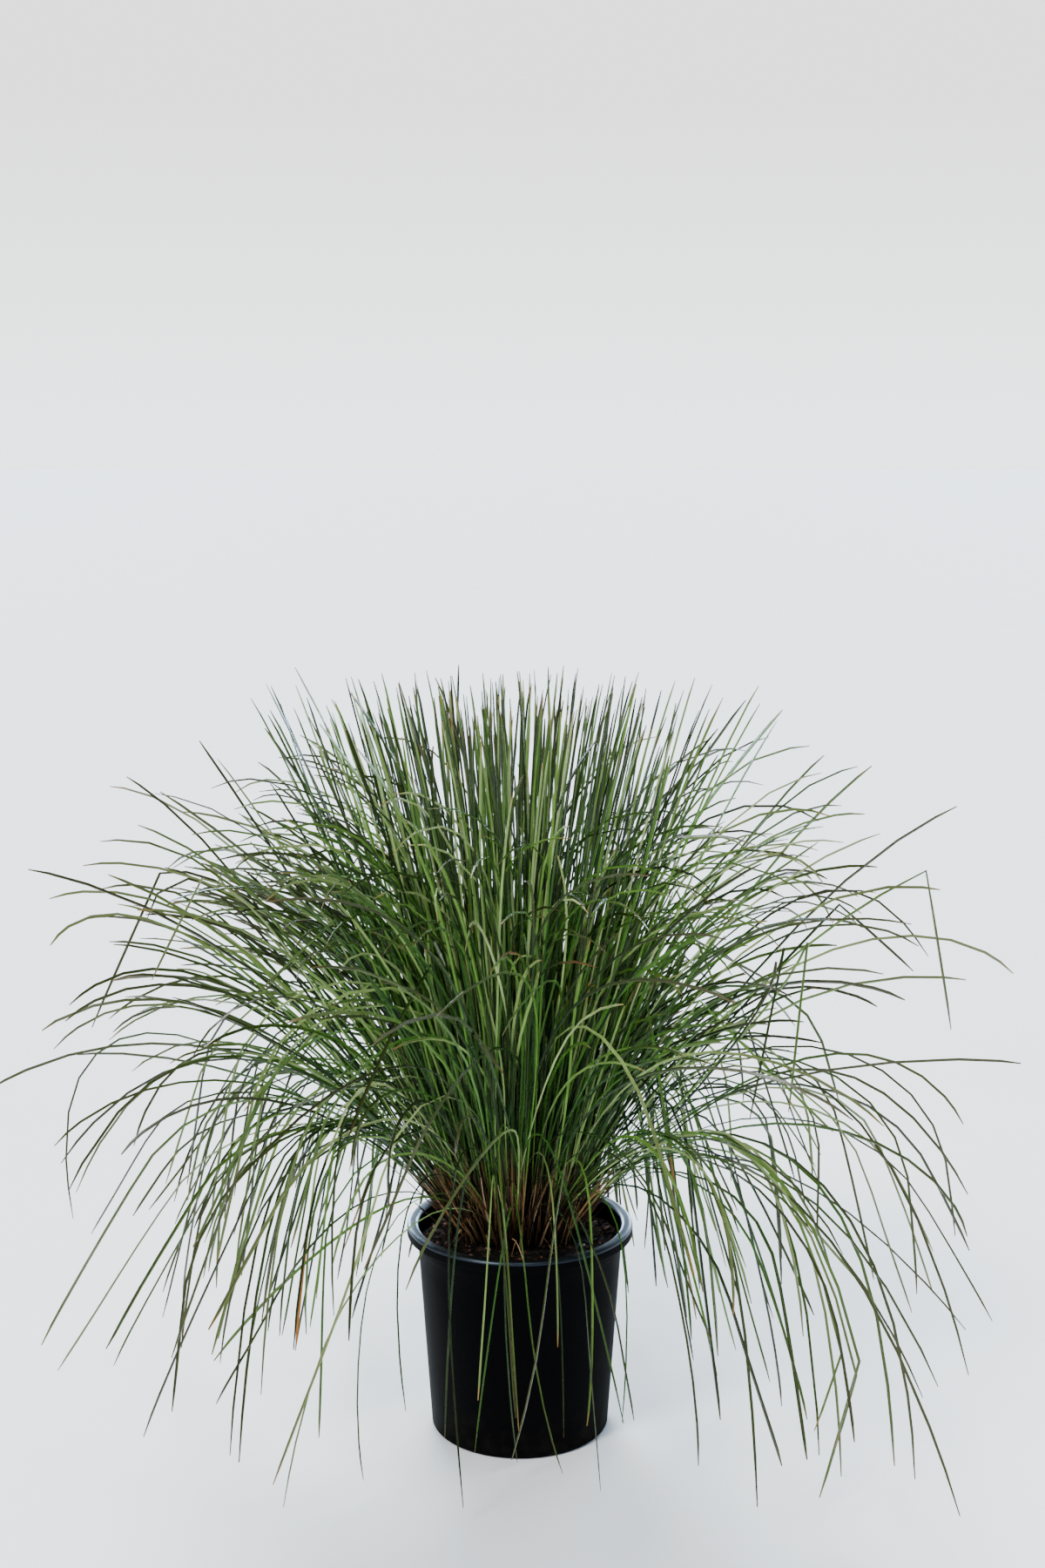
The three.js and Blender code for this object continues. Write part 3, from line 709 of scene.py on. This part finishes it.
class Standing:
    """Every stretch of leaf, straw and core that already stands."""

    def __init__(self):
        self.start, self.stop = np.zeros((0, 3)), np.zeros((0, 3))
        self.radius, self.owner, self.at_root = np.zeros(0), np.zeros(0, int), np.zeros(0, bool)

    def clear(self, points, radius, owner):
        at_root = np.arange(len(radius)) == 0
        far = segment_distance(points[:-1], points[1:], self.start, self.stop)
        room = radius[:, None] + self.radius[None] + GAP
        same = (self.owner == owner)[None] & (at_root[:, None] | self.at_root[None])
        return bool(np.all(same | (far > room)))

    def add(self, points, radius, owner):
        self.start = np.vstack([self.start, points[:-1]])
        self.stop = np.vstack([self.stop, points[1:]])
        self.radius = np.append(self.radius, radius)
        self.owner = np.append(self.owner, np.full(len(radius), owner))
        self.at_root = np.append(self.at_root, np.arange(len(radius)) == 0)


tufts = [Tuft(k) for k in range(TUFTS)]
standing = Standing()
for k, tuft in enumerate(tufts):
    ends = np.array([tuft.along(-CORE_ROOT), tuft.along(CORE_TOP)])
    standing.add(ends, np.array([CORE_TOP_RADIUS]), k)
grown = [[] for tuft in tufts]


def settle(make, k, lowest):
    """The first try of a leaf that is clear of everything, added to its tuft."""
    for attempt in range(MAX_TRIES):
        path, roll, spacing = make(attempt)
        rings = path[::spacing]
        share = np.arange(len(rings) - 1) / (len(rings) - 1)
        radius = LEAF_WIDTH / 2 * width_share(share) + 0.1
        fits = clear_of_pot(path, lowest, LEAF_STEPS / 4) and clear_of_pot(rings, lowest, 1)
        if fits and standing.clear(rings, radius, k):
            standing.add(rings, radius, k)
            grown[k].append((path, roll))
            return True
    return False


leader = {}
heart = np.array([*CROWN_PLACE, SOIL_MM - 60])
for index, leaf in enumerate(LONG_LEAVES):
    want = np.array(leaf[0]) - heart
    want = want / np.linalg.norm(want)
    cost = [np.linalg.norm(want - tuft.axis) + 0.07 * tuft.long_leaves for tuft in tufts]
    home = int(np.argmin(cost))
    tufts[home].long_leaves += 1
    if settle(lambda attempt: long_leaf(tufts[home], index, attempt), home, LOWEST_LEAF):
        leader[index] = (home, grown[home][-1][0])
for k, tuft in enumerate(tufts):
    count = max(LEAST_LEAVES, LEAVES_PER_TUFT - tuft.long_leaves)
    for j in range(count):
        settle(lambda attempt: loose_leaf(tuft, k, j, attempt, count), k, LOWEST_LOOSE_LEAF)

# Between the leaves that the solids show stand finer ones of the same habit, which make the clump
# as full as a real one. HANGING and ARCHING are the shares of them that bow over and that arch.
FILLING_LEAVES = 37
TUFT_RADIUS = 9
HANGING = 0.09
ARCHING = 0.22
NOT_NODDING = 0.82
LOWEST_TOP = 730
TOP_SPAN = 131
UPRIGHT_LEAN = 22
RISING_WIDTH = 2.5
ARC_WIDTH = 2.95

# How many leaves keep close to a long one, by its place in the list, and how far some are drawn in.
BUNCHES = {
    0: 1, 5: 3, 6: 3, 7: 2, 8: 2, 9: 3, 10: 3, 12: 3, 13: 2, 14: 2, 15: 2, 16: 5, 17: 4,
    27: 2, 32: 2, 34: 1, 35: 5, 36: 3, 37: 4,
}
DRAWN_IN = {15: 35, 16: 30, 17: 50}
STEM_STEPS = 4
SHEATH_WIDTH = 1.7
SHEATH_SHARE = 0.12
BLADE_THICKNESS = 0.4
SHARP_KINK = 0.35
STRAIGHT = 0.93
BEFORE_POT_WIDTH = 0.65
DRYING_LEAVES = 0.012
CREASE_ANGLE = 60
FAN_FOCUS = np.array([*CROWN_PLACE, SOIL_MM - 260])


def filling_leaf(tuft, k, j, attempt):
    """A leaf inside the clump: most rise in an even fan, some arch over, and some bow and hang.
    Fewer of them bend towards the front, where the straight shoots show down to the crown.
    """
    draw = draws(1000 * k + 37 * j + 7 * attempt + 500003)
    ring = TUFT_RADIUS * math.sqrt((j + 0.5) / FILLING_LEAVES)
    turn = j * GOLDEN_ANGLE + 61 * k
    foot = tuft.foot + ring * np.array([cos(turn), sin(turn), 0])
    start = foot - FAN_FOCUS
    start = start / np.linalg.norm(start) + 0.2 * np.array([draw() - 0.5, draw() - 0.5, 0])
    start /= np.linalg.norm(start)
    lean = math.degrees(math.acos(start[2]))
    turn = math.degrees(math.atan2(start[1], start[0]))
    kind, first, second, third = draw(), draw(), draw(), draw()
    top, rises, bends, width = 0, 0, 1, RISING_WIDTH
    bending = 1 - 0.8 * max(0, -sin(turn))
    hanging = HANGING * bending
    arching = ARCHING * bending * (1 - 0.12 * cos(turn))
    if kind < hanging:
        rises, bends = 0.1 + 0.2 * second, 0.32 + 0.15 * first - 0.1 * cos(turn)
        width = ARC_WIDTH
        tip, length, power = 160 + 14 * draw(), 440 + 300 * third, 1
    elif kind < hanging + arching:
        lean, width = lean * (1 + 1.1 * first), ARC_WIDTH
        tip, length, power = 62 + 40 * second, 370 + 130 * third - 70 * cos(turn), 1.3 + draw()
    elif second > NOT_NODDING:
        tip, length, power = 75 + 60 * first, 470 + 190 * third, 2.2 + 2 * draw()
    else:
        side = abs(cos(turn)) + 0.4 * cos(turn)
        short = second < 0.46 + 0.25 * side * min(1, lean / 16)
        tip, power = lean * (1 + 0.9 * first) + 3, 1.3 + draw()
        length = 230 + 180 * third if short else 430 + 230 * third
        if not short and lean <= UPRIGHT_LEAN:
            top = LOWEST_TOP + TOP_SPAN * third**0.35
    sway = (120 if tip > 60 and power > 2.2 else 50) * (draw() - 0.5)
    roll = 180 * (draw() - 0.5)
    root = foot + start * (LEAF_RISE + 4 * draw())
    t = (np.arange(LEAF_STEPS) + 0.5) / LEAF_STEPS
    slope = lean + (tip - lean) * np.clip((t - rises) / bends, 0, 1) ** power
    steps = aim(slope, turn + sway * t * t) * length / LEAF_STEPS
    path = np.vstack([root, root + np.cumsum(steps, 0)])
    if top:
        path = root + (path - root) * (top - root[2]) / (path[-1, 2] - root[2])
    return foot, path, roll, width


def bunched_leaf(tuft, path, drawn_in, rng):
    """A leaf that keeps close to a long one, drifts a little away from it and ends elsewhere."""
    t = np.linspace(0, 1, LEAF_STEPS + 1)[:, None]
    drift = rng.uniform(-1, 1, 3) * [52, 52, 22] + [drawn_in, 0, 0]
    spread_out = rng.uniform(-1, 1, 3) * [7, 7, 3]
    moved = path + spread_out * np.minimum(1, 3 * t) + drift * t**rng.uniform(1.2, 2.6)
    last = LEAF_STEPS - int(rng.integers(0, 20))
    turn = rng.uniform(0, 360)
    foot = tuft.foot + rng.uniform(2, TUFT_RADIUS) * np.array([cos(turn), sin(turn), 0])
    return foot, moved[: last + 1]


def over_pot(path):
    """Whether a leaf hangs before the front of the pot, where few do."""
    x, y, z = path.T
    return bool(np.any((np.abs(x) < 175) & (y < -100) & (z < 260)))


def blade_outline(t):
    """The finished outline widens from a thin shoot and keeps its width almost to the point."""
    widening = np.clip((t - 0.1) / 0.5, 0, 1)
    return 0.46 + 0.5 * widening - 0.6 * np.clip((t - 0.96) / 0.04, 0, 1)


def transported(points, roll, twist):
    """For each point of a path the direction along it, across it and under it."""
    along = np.gradient(points, axis=0)
    along /= np.linalg.norm(along, axis=1)[:, None]
    across = np.zeros_like(along)
    first = np.array([-along[0, 1], along[0, 0], 0]) + 1e-6
    first -= along[0] * first.dot(along[0])
    first /= np.linalg.norm(first)
    first = first * cos(roll) + np.cross(along[0], first) * sin(roll)
    for i, direction in enumerate(along):
        first = first - direction * first.dot(direction)
        first /= np.linalg.norm(first)
        across[i] = first
    turns = (twist * np.linspace(0, 1, len(points)) ** 1.5)[:, None]
    across = across * cos(turns) + np.cross(along, across) * sin(turns)
    return along, across, np.cross(across, along)


def blade_rings(points, width, fold, thickness, roll, twist):
    """Rings of four points: left edge, midrib above, right edge, midrib below."""
    along, across, under = transported(points, roll, twist)
    half = (width / 2)[:, None] * across
    lift = (width * fold)[:, None] * under
    below = thickness[:, None] * under
    return np.stack([points - half - lift, points, points + half - lift, points + below], 1)


def blade_faces(rings, start):
    """Quads round a run of rings of four, closed at both ends."""
    made = [(start, start + 1, start + 2, start + 3)]
    for i in range(rings - 1):
        a = start + 4 * i
        for j in range(4):
            k = (j + 1) % 4
            made.append((a + j, a + 4 + j, a + 4 + k, a + k))
    a = start + 4 * (rings - 1)
    made.append((a + 3, a + 2, a + 1, a))
    return made


class Sward:
    """Collects blades for one mesh. A blade's colour attribute holds its own tone, how near it
    stands to the edge of the crown, the share of its length that is left, and how far it is dry.
    """

    def __init__(self):
        self.points, self.faces, self.tones, self.uvs, self.count = [], [], [], [], 0

    def add(self, rings, tone, dry):
        lengths = np.linalg.norm(np.diff(rings[:, 1], axis=0), axis=1)
        run = np.concatenate([[0], np.cumsum(lengths)]) * MM
        self.points.append(rings.reshape(-1, 3) * MM)
        self.faces += blade_faces(len(rings), self.count)
        from_edge = np.linalg.norm((rings[0, 1, :2] - CROWN_PLACE) / CROWN_HALF)
        outer = np.clip((from_edge - 0.5) / 0.4, 0, 1)
        one = np.ones(len(run))
        tones = np.stack([tone * one, outer * one, 1 - run / run[-1], dry * one], -1)
        self.tones.append(np.repeat(tones, 4, 0))
        across = np.tile([0, 0.5, 1, 0.5], len(run))
        self.uvs.append(np.stack([across, np.repeat(run, 4)], -1))
        self.count += 4 * len(rings)

    def piece(self, name):
        points, tones, uvs = [np.concatenate(part) for part in (self.points, self.tones, self.uvs)]
        made = mesh_piece(name, points, self.faces, tones, uvs)
        bpy.ops.object.shade_smooth_by_angle(angle=math.radians(CREASE_ANGLE))
        return made


def grow_leaf(sward, foot, path, roll, wide, rng):
    """A finished leaf: its sheath from the crown up, then the blade along its path."""
    first = path[1] - path[0]
    reach = np.linalg.norm(path[0] - foot) / 3
    bend_low = foot + np.array([0, 0, reach])
    bend_high = path[0] - first / np.linalg.norm(first) * reach
    u = np.linspace(0, 1, STEM_STEPS, endpoint=False)[:, None]
    stem = drawn_curve(u, foot, bend_low, bend_high, path[0])
    span = np.linalg.norm(np.diff(path, axis=0), axis=1).sum()
    sharp = np.abs(np.diff(path, 2, axis=0)).sum(1).max() > span / LEAF_STEPS * SHARP_KINK
    straight = np.linalg.norm(path[-1] - path[0]) > STRAIGHT * span
    last = len(path) - 1
    kept = [*range(0, last - 3, 6 if straight and not sharp else 4), last - 2, last]
    blade = path[kept]
    t = np.array(kept) / last
    for axis in range(3):
        wave = rng.uniform(1.5, 4) * t * np.sin(t * rng.uniform(5, 11) + rng.uniform(0, 6.3))
        blade[:, axis] += wave * (0 if sharp else 1)
    points = np.vstack([stem, blade])
    share = np.concatenate([np.zeros(STEM_STEPS), t])
    outline = np.maximum(blade_outline(share), 0.12)
    sheath = np.clip(1 - share / SHEATH_SHARE, 0, 1)
    width = wide * rng.uniform(0.85, 1.25) * outline * (BEFORE_POT_WIDTH if over_pot(path) else 1)
    width = width * (1 - sheath) + SHEATH_WIDTH * sheath
    fold = rng.uniform(0.34, 0.56) * (0.85 + 0.6 * share)
    thickness = (BLADE_THICKNESS + 1.0 * sheath) * outline
    rings = blade_rings(points, width, fold, thickness, roll, rng.uniform(-60, 60))
    dry = rng.uniform(0.06, 0.22) if rng.uniform() < DRYING_LEAVES else rng.uniform(0, 0.02)
    sward.add(rings, rng.uniform(), dry)


for k, tuft in enumerate(tufts):
    rng = np.random.default_rng(1000 + k)
    sward = Sward()
    for path, roll in grown[k]:
        foot = tuft.along(1) + 2 * (path[0] - tuft.along(LEAF_RISE))
        foot += 3.5 * rng.uniform(-1, 1, 3) * [1, 1, 0]
        grow_leaf(sward, foot, path, roll, LEAF_WIDTH, rng)
    for j in range(FILLING_LEAVES):
        for attempt in range(MAX_TRIES):
            foot, path, roll, width = filling_leaf(tuft, k, j, attempt)
            if clear_of_pot(path, LOWEST_LOOSE_LEAF, LEAF_STEPS / 4) and not over_pot(path):
                grow_leaf(sward, foot, path, roll, width, rng)
                break
    for index, count in BUNCHES.items():
        if leader.get(index, (None, None))[0] == k:
            for j in range(count):
                nearer = DRAWN_IN.get(index, 0)
                foot, path = bunched_leaf(tuft, leader[index][1], nearer, rng)
                grow_leaf(sward, foot, path, rng.uniform(-90, 90), ARC_WIDTH, rng)
    piece = sward.piece(f"leaves_{k + 1:02d}")
    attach(piece, "root")
    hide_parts(f"tuft_{k + 1:02d}")
    tuft.piece = piece

leaf, tree, shader = new_finish("grass_leaf")
tone, outer, left_share, dry = own_tones(tree)
uv = node(tree, "SeparateXYZ", {0: node(tree, "UVMap", uv_map="UVMap").outputs[0]})
across, run = uv.outputs[0], uv.outputs[1]
greens = ramp(tree, tone, [
    (0.0, (0.002, 0.013, 0.001)),
    (0.3, (0.007, 0.042, 0.002)),
    (0.58, (0.032, 0.12, 0.007)),
    (0.78, (0.11, 0.25, 0.03)),
    (1.0, (0.42, 0.52, 0.22)),
])
patches = object_noise(tree, 28, 3)
mottle = ramp(tree, patches, [(0.3, (0.6, 0.62, 0.5)), (0.7, (1.25, 1.2, 1.1))])
greens = blended(tree, 0.6, greens, mottle, "MULTIPLY")
veins = maths(tree, "SINE", maths(tree, "MULTIPLY", across, 75))
from_midrib = maths(tree, "ABSOLUTE", maths(tree, "SUBTRACT", across, 0.5))
rib = spread(tree, from_midrib, 0.02, 0.12, 0.35, 0)
greens = blended(tree, rib, greens, (0.15, 0.22, 0.06))
straw_start = maths(tree, "ADD", run, spread(tree, tone, 0, 1, -0.02, 0.02))
sheath = spread(tree, straw_start, 0.075, 0.125, 1, 0)
tans = ramp(tree, maths(tree, "FRACT", maths(tree, "MULTIPLY", tone, 7)), [
    (0.35, (0.010, 0.006, 0.003)),
    (0.6, (0.07, 0.038, 0.014)),
    (0.9, (0.34, 0.19, 0.08)),
])
lower = blended(tree, sheath, greens, tans)
past = maths(tree, "SUBTRACT", dry, left_share)
dead = ramp(tree, tone, [
    (0.1, (0.12, 0.06, 0.02)),
    (0.6, (0.22, 0.13, 0.05)),
    (0.9, (0.42, 0.17, 0.03)),
])
flat = node(tree, "Mapping", {0: node(tree, "TexCoord").outputs["Object"], "Scale": (1, 1, 0)})
far_out = node(tree, "VectorMath", {0: flat.outputs[0]}, operation="LENGTH").outputs["Value"]
weathered = spread(tree, far_out, 0.2, 0.42, 0, 0.7)
lower = blended(tree, weathered, lower, (0.044, 0.039, 0.011))
olive = blended(tree, spread(tree, left_share, 0.05, 0.4, 0.25, 0), lower, (0.075, 0.062, 0.022))
finished = blended(tree, spread(tree, past, -0.02, 0.04, 0, 1), olive, dead)
# Low down in the middle of the clump the leaves are blended to near black: painted shade inside the
# dense clump.
low = spread(tree, run, 0.1, 0.32, 1, 0)
shade_inside = maths(tree, "MULTIPLY", low, spread(tree, outer, 0, 1, 0.9, 0))
painted_inner_shade = blended(tree, shade_inside, finished, (0.003, 0.005, 0.0015))
tree.links.new(painted_inner_shade, shader.inputs["Base Color"])
tree.links.new(spread(tree, patches, 0.3, 0.7, 0.18, 0.32), shader.inputs["Roughness"])
shader.inputs["Specular IOR Level"].default_value = 0.22
bumped(tree, shader, veins, 0.12 * MM, 0.6)
for tuft in tufts:
    tuft.piece.data.materials.append(leaf)

# Crown
# The rootstock just proud of the soil, with the dry sheaths of old leaves standing round the
# shoots. The sheaths are stiff straws, orange tan to dark brown, some of them split and bent.
SHEATHS = 96
EXTRA_SHEATHS = 330
STRAW_WIDTH = 3
FALLEN_STRANDS = 7
CROWN_SIDES = 72
crown_rises = [(0.8, -24), (1, -14), (1, 1), (0.85, 2.6), (0.6, 3.6), (0.3, 4.4), (0.1, 4.8)]
crown_profile = [(share, (SOIL_MM + rise) * MM) for share, rise in crown_rises]
crown = turned("rootstock", crown_profile, CROWN_SIDES)
for vertex in crown.data.vertices:
    vertex.co.x = vertex.co.x * CROWN_HALF[0] * MM + CROWN_PLACE[0] * MM
    vertex.co.y = vertex.co.y * CROWN_HALF[1] * MM + CROWN_PLACE[1] * MM
    vertex.co.z += noise.noise(vertex.co * 90) * 2 * MM
bpy.ops.object.shade_smooth()


def straw_path(index, attempt):
    """A sheath of the crown: the same straw as in the solids."""
    draw = draws(70000 + 41 * index + 7 * attempt)
    share = math.sqrt((index + 0.5) / SHEATHS) * 0.93
    turn = index * GOLDEN_ANGLE + 70 + 25 * (draw() - 0.5)
    spot = CROWN_PLACE + CROWN_HALF * share * np.array([cos(turn), sin(turn)])
    foot = np.array([spot[0] + 5 * (draw() - 0.5), spot[1] + 5 * (draw() - 0.5), SOIL_MM - 2])
    lean = (EDGE_LEAN + 8) * share + 18 * (draw() - 0.5)
    up = aim(lean, turn + 40 * (draw() - 0.5))
    return np.array([foot, foot + up * (46 + 34 * draw())])


def split_straw(sward, start, stop, width, rng):
    """A straw with a slight bow, flattened, and torn off at the top."""
    rings = 7
    t = np.linspace(0, 1, rings)[:, None]
    bow = rng.uniform(-2.5, 2.5, 3) * [1, 1, 0.2]
    points = start + (stop - start) * t + bow * np.sin(t * math.pi * rng.uniform(0.6, 1.3))
    wide = width * (1 - 0.55 * t[:, 0] ** 2)
    thick = wide * np.linspace(0.6, 0.2, rings)
    roll, twist = rng.uniform(0, 360), rng.uniform(-60, 60)
    sward.add(blade_rings(points, wide, np.full(rings, 0.25), thick, roll, twist), rng.uniform(), 0)


def fallen_strand(sward, index, rng):
    """A thin dry strand that has come loose and lies curled against the front of the crown."""
    turn = 165 + 150 * (index + rng.uniform(0, 1)) / FALLEN_STRANDS
    foot = np.array([*CROWN_PLACE, SOIL_MM + 16]) + 56 * aim(90, turn)
    stop = foot + aim(90, turn + rng.uniform(-60, 60)) * rng.uniform(22, 42) - [0, 0, 13]
    rings = 9
    t = np.linspace(0, 1, rings)[:, None]
    points = foot + (stop - foot) * t + [0, 0, rng.uniform(2, 8)] * np.sin(t * math.pi)
    wide = rng.uniform(1.4, 2.2) * (1 - 0.5 * t[:, 0])
    strand = blade_rings(points, wide, np.full(rings, 0.3), wide * 0.3, rng.uniform(0, 360), 90)
    sward.add(strand, rng.uniform(0.55, 1), 0)


rng = np.random.default_rng(77)
straws = Sward()
straw_room = np.array([STRAW_WIDTH / 2 + 0.2])
for index in range(SHEATHS):
    for attempt in range(MAX_TRIES):
        ends = straw_path(index, attempt)
        if standing.clear(ends, straw_room, TUFTS + index):
            standing.add(ends, straw_room, TUFTS + index)
            split_straw(straws, ends[0], ends[1], STRAW_WIDTH, rng)
            break
for index in range(EXTRA_SHEATHS):
    share = math.sqrt(rng.uniform(0, 1)) * 0.85
    turn = rng.uniform(0, 360)
    spot = CROWN_PLACE + CROWN_HALF * share * np.array([cos(turn), sin(turn)])
    foot = np.array([*spot, SOIL_MM - 1])
    lean = 40 * share + rng.uniform(-6, 6)
    stop = foot + aim(lean, turn + rng.uniform(-12, 12)) * rng.uniform(60, 118)
    split_straw(straws, foot, stop, rng.uniform(2.0, 3.6), rng)
for index in range(FALLEN_STRANDS):
    fallen_strand(straws, index, rng)
straws = straws.piece("straw_sheaths")

straw, tree, shader = new_finish("dry_straw")
tone, outer, left_share = own_tones(tree)[:3]
tans = ramp(tree, tone, [
    (0.0, (0.005, 0.003, 0.002)),
    (0.4, (0.018, 0.009, 0.004)),
    (0.6, (0.15, 0.075, 0.030)),
    (0.8, (0.46, 0.26, 0.11)),
    (1.0, (0.66, 0.46, 0.26)),
])
fibre = object_noise(tree, 120, 3, stretch=(1, 1, 0.15))
fibrous = ramp(tree, fibre, [(0.3, (0.5, 0.45, 0.4)), (0.7, (1.3, 1.25, 1.2))])
tans = blended(tree, 0.6, tans, fibrous, "MULTIPLY")
# Straws are blended to near black towards their foot and towards the middle of the crown: painted
# shade among the sheaths.
shade_inside = spread(tree, outer, 0, 1, 0.92, 0)
painted_straw_shade = maths(tree, "MAXIMUM", spread(tree, left_share, 0.75, 1, 0, 0.7), shade_inside)
tree.links.new(blended(tree, painted_straw_shade, tans, (0.006, 0.0035, 0.002)), shader.inputs["Base Color"])
shader.inputs["Roughness"].default_value = 0.65
shader.inputs["Specular IOR Level"].default_value = 0.2
bumped(tree, shader, fibre, 0.6 * MM)
for piece in (crown, straws):
    piece.data.materials.clear()
    piece.data.materials.append(straw if piece is straws else mix)
    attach(piece, "root")
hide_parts("crown")

# Floor and light
# A plain pale floor under the pot, a broad soft light from above and a little behind, a weaker one
# from the front left, and three faint cool ones that catch the lip. The surround is pale where it
# meets the floor at the horizon, and bluish above, where it shows only in reflections.
FLOOR_SIZE = 400
SURROUND_POWER = 3.05
bpy.ops.mesh.primitive_plane_add(size=FLOOR_SIZE, location=(0, 0, 0))
floor = bpy.context.object
floor.name = "floor"
pale_floor, tree, shader = new_finish("pale_floor")
paint = ramp(tree, object_noise(tree, 2.5), [(0.3, (0.80, 0.80, 0.805)), (0.7, (0.82, 0.82, 0.825))])
tree.links.new(paint, shader.inputs["Base Color"])
shader.inputs["Roughness"].default_value = 0.9
shader.inputs["Specular IOR Level"].default_value = 0.1
floor.data.materials.append(pale_floor)


def soft_light(name, coming_from, spread_angle, power, colour):
    """A distant light as wide as a large softbox, from a direction."""
    data = bpy.data.lights.new(name, "SUN")
    data.angle = math.radians(spread_angle)
    data.energy = power
    data.color = colour
    light = bpy.data.objects.new(name, data)
    light.rotation_euler = Vector(coming_from).to_track_quat("Z", "Y").to_euler()
    bpy.context.collection.objects.link(light)


soft_light("sky_light", (-0.1, 0.9, 1.0), 22, 6.5, (0.92, 0.97, 1.0))
soft_light("front_light", (-0.7, -0.8, 1.3), 14, 3.6, (1.0, 0.97, 0.92))
soft_light("top_glint", (0.1, -0.35, 1.0), 12, 0.6, (0.85, 0.93, 1.0))
soft_light("left_glint", (-0.32, 0.93, 0.16), 20, 4.2, (0.5, 0.74, 1.0))
soft_light("right_glint", (0.32, 0.93, 0.16), 20, 4.2, (0.5, 0.74, 1.0))
world = bpy.data.worlds.new("studio")
world.use_nodes = True
tree = world.node_tree
background = tree.nodes["Background"]
up = node(tree, "SeparateXYZ", {0: node(tree, "TexCoord").outputs["Generated"]}).outputs[2]
glow = ramp(tree, up, [
    (0.0, (0.93, 0.975, 1.0)),
    (0.02, (0.93, 0.975, 1.0)),
    (0.16, (0.72, 0.72, 0.72)),
    (0.215, (0.72, 0.72, 0.72)),
    (0.25, (0.45, 0.66, 1.0)),
    (0.42, (0.08, 0.10, 0.13)),
])
tree.links.new(glow, background.inputs[0])
background.inputs[1].default_value = SURROUND_POWER
bpy.context.scene.world = world
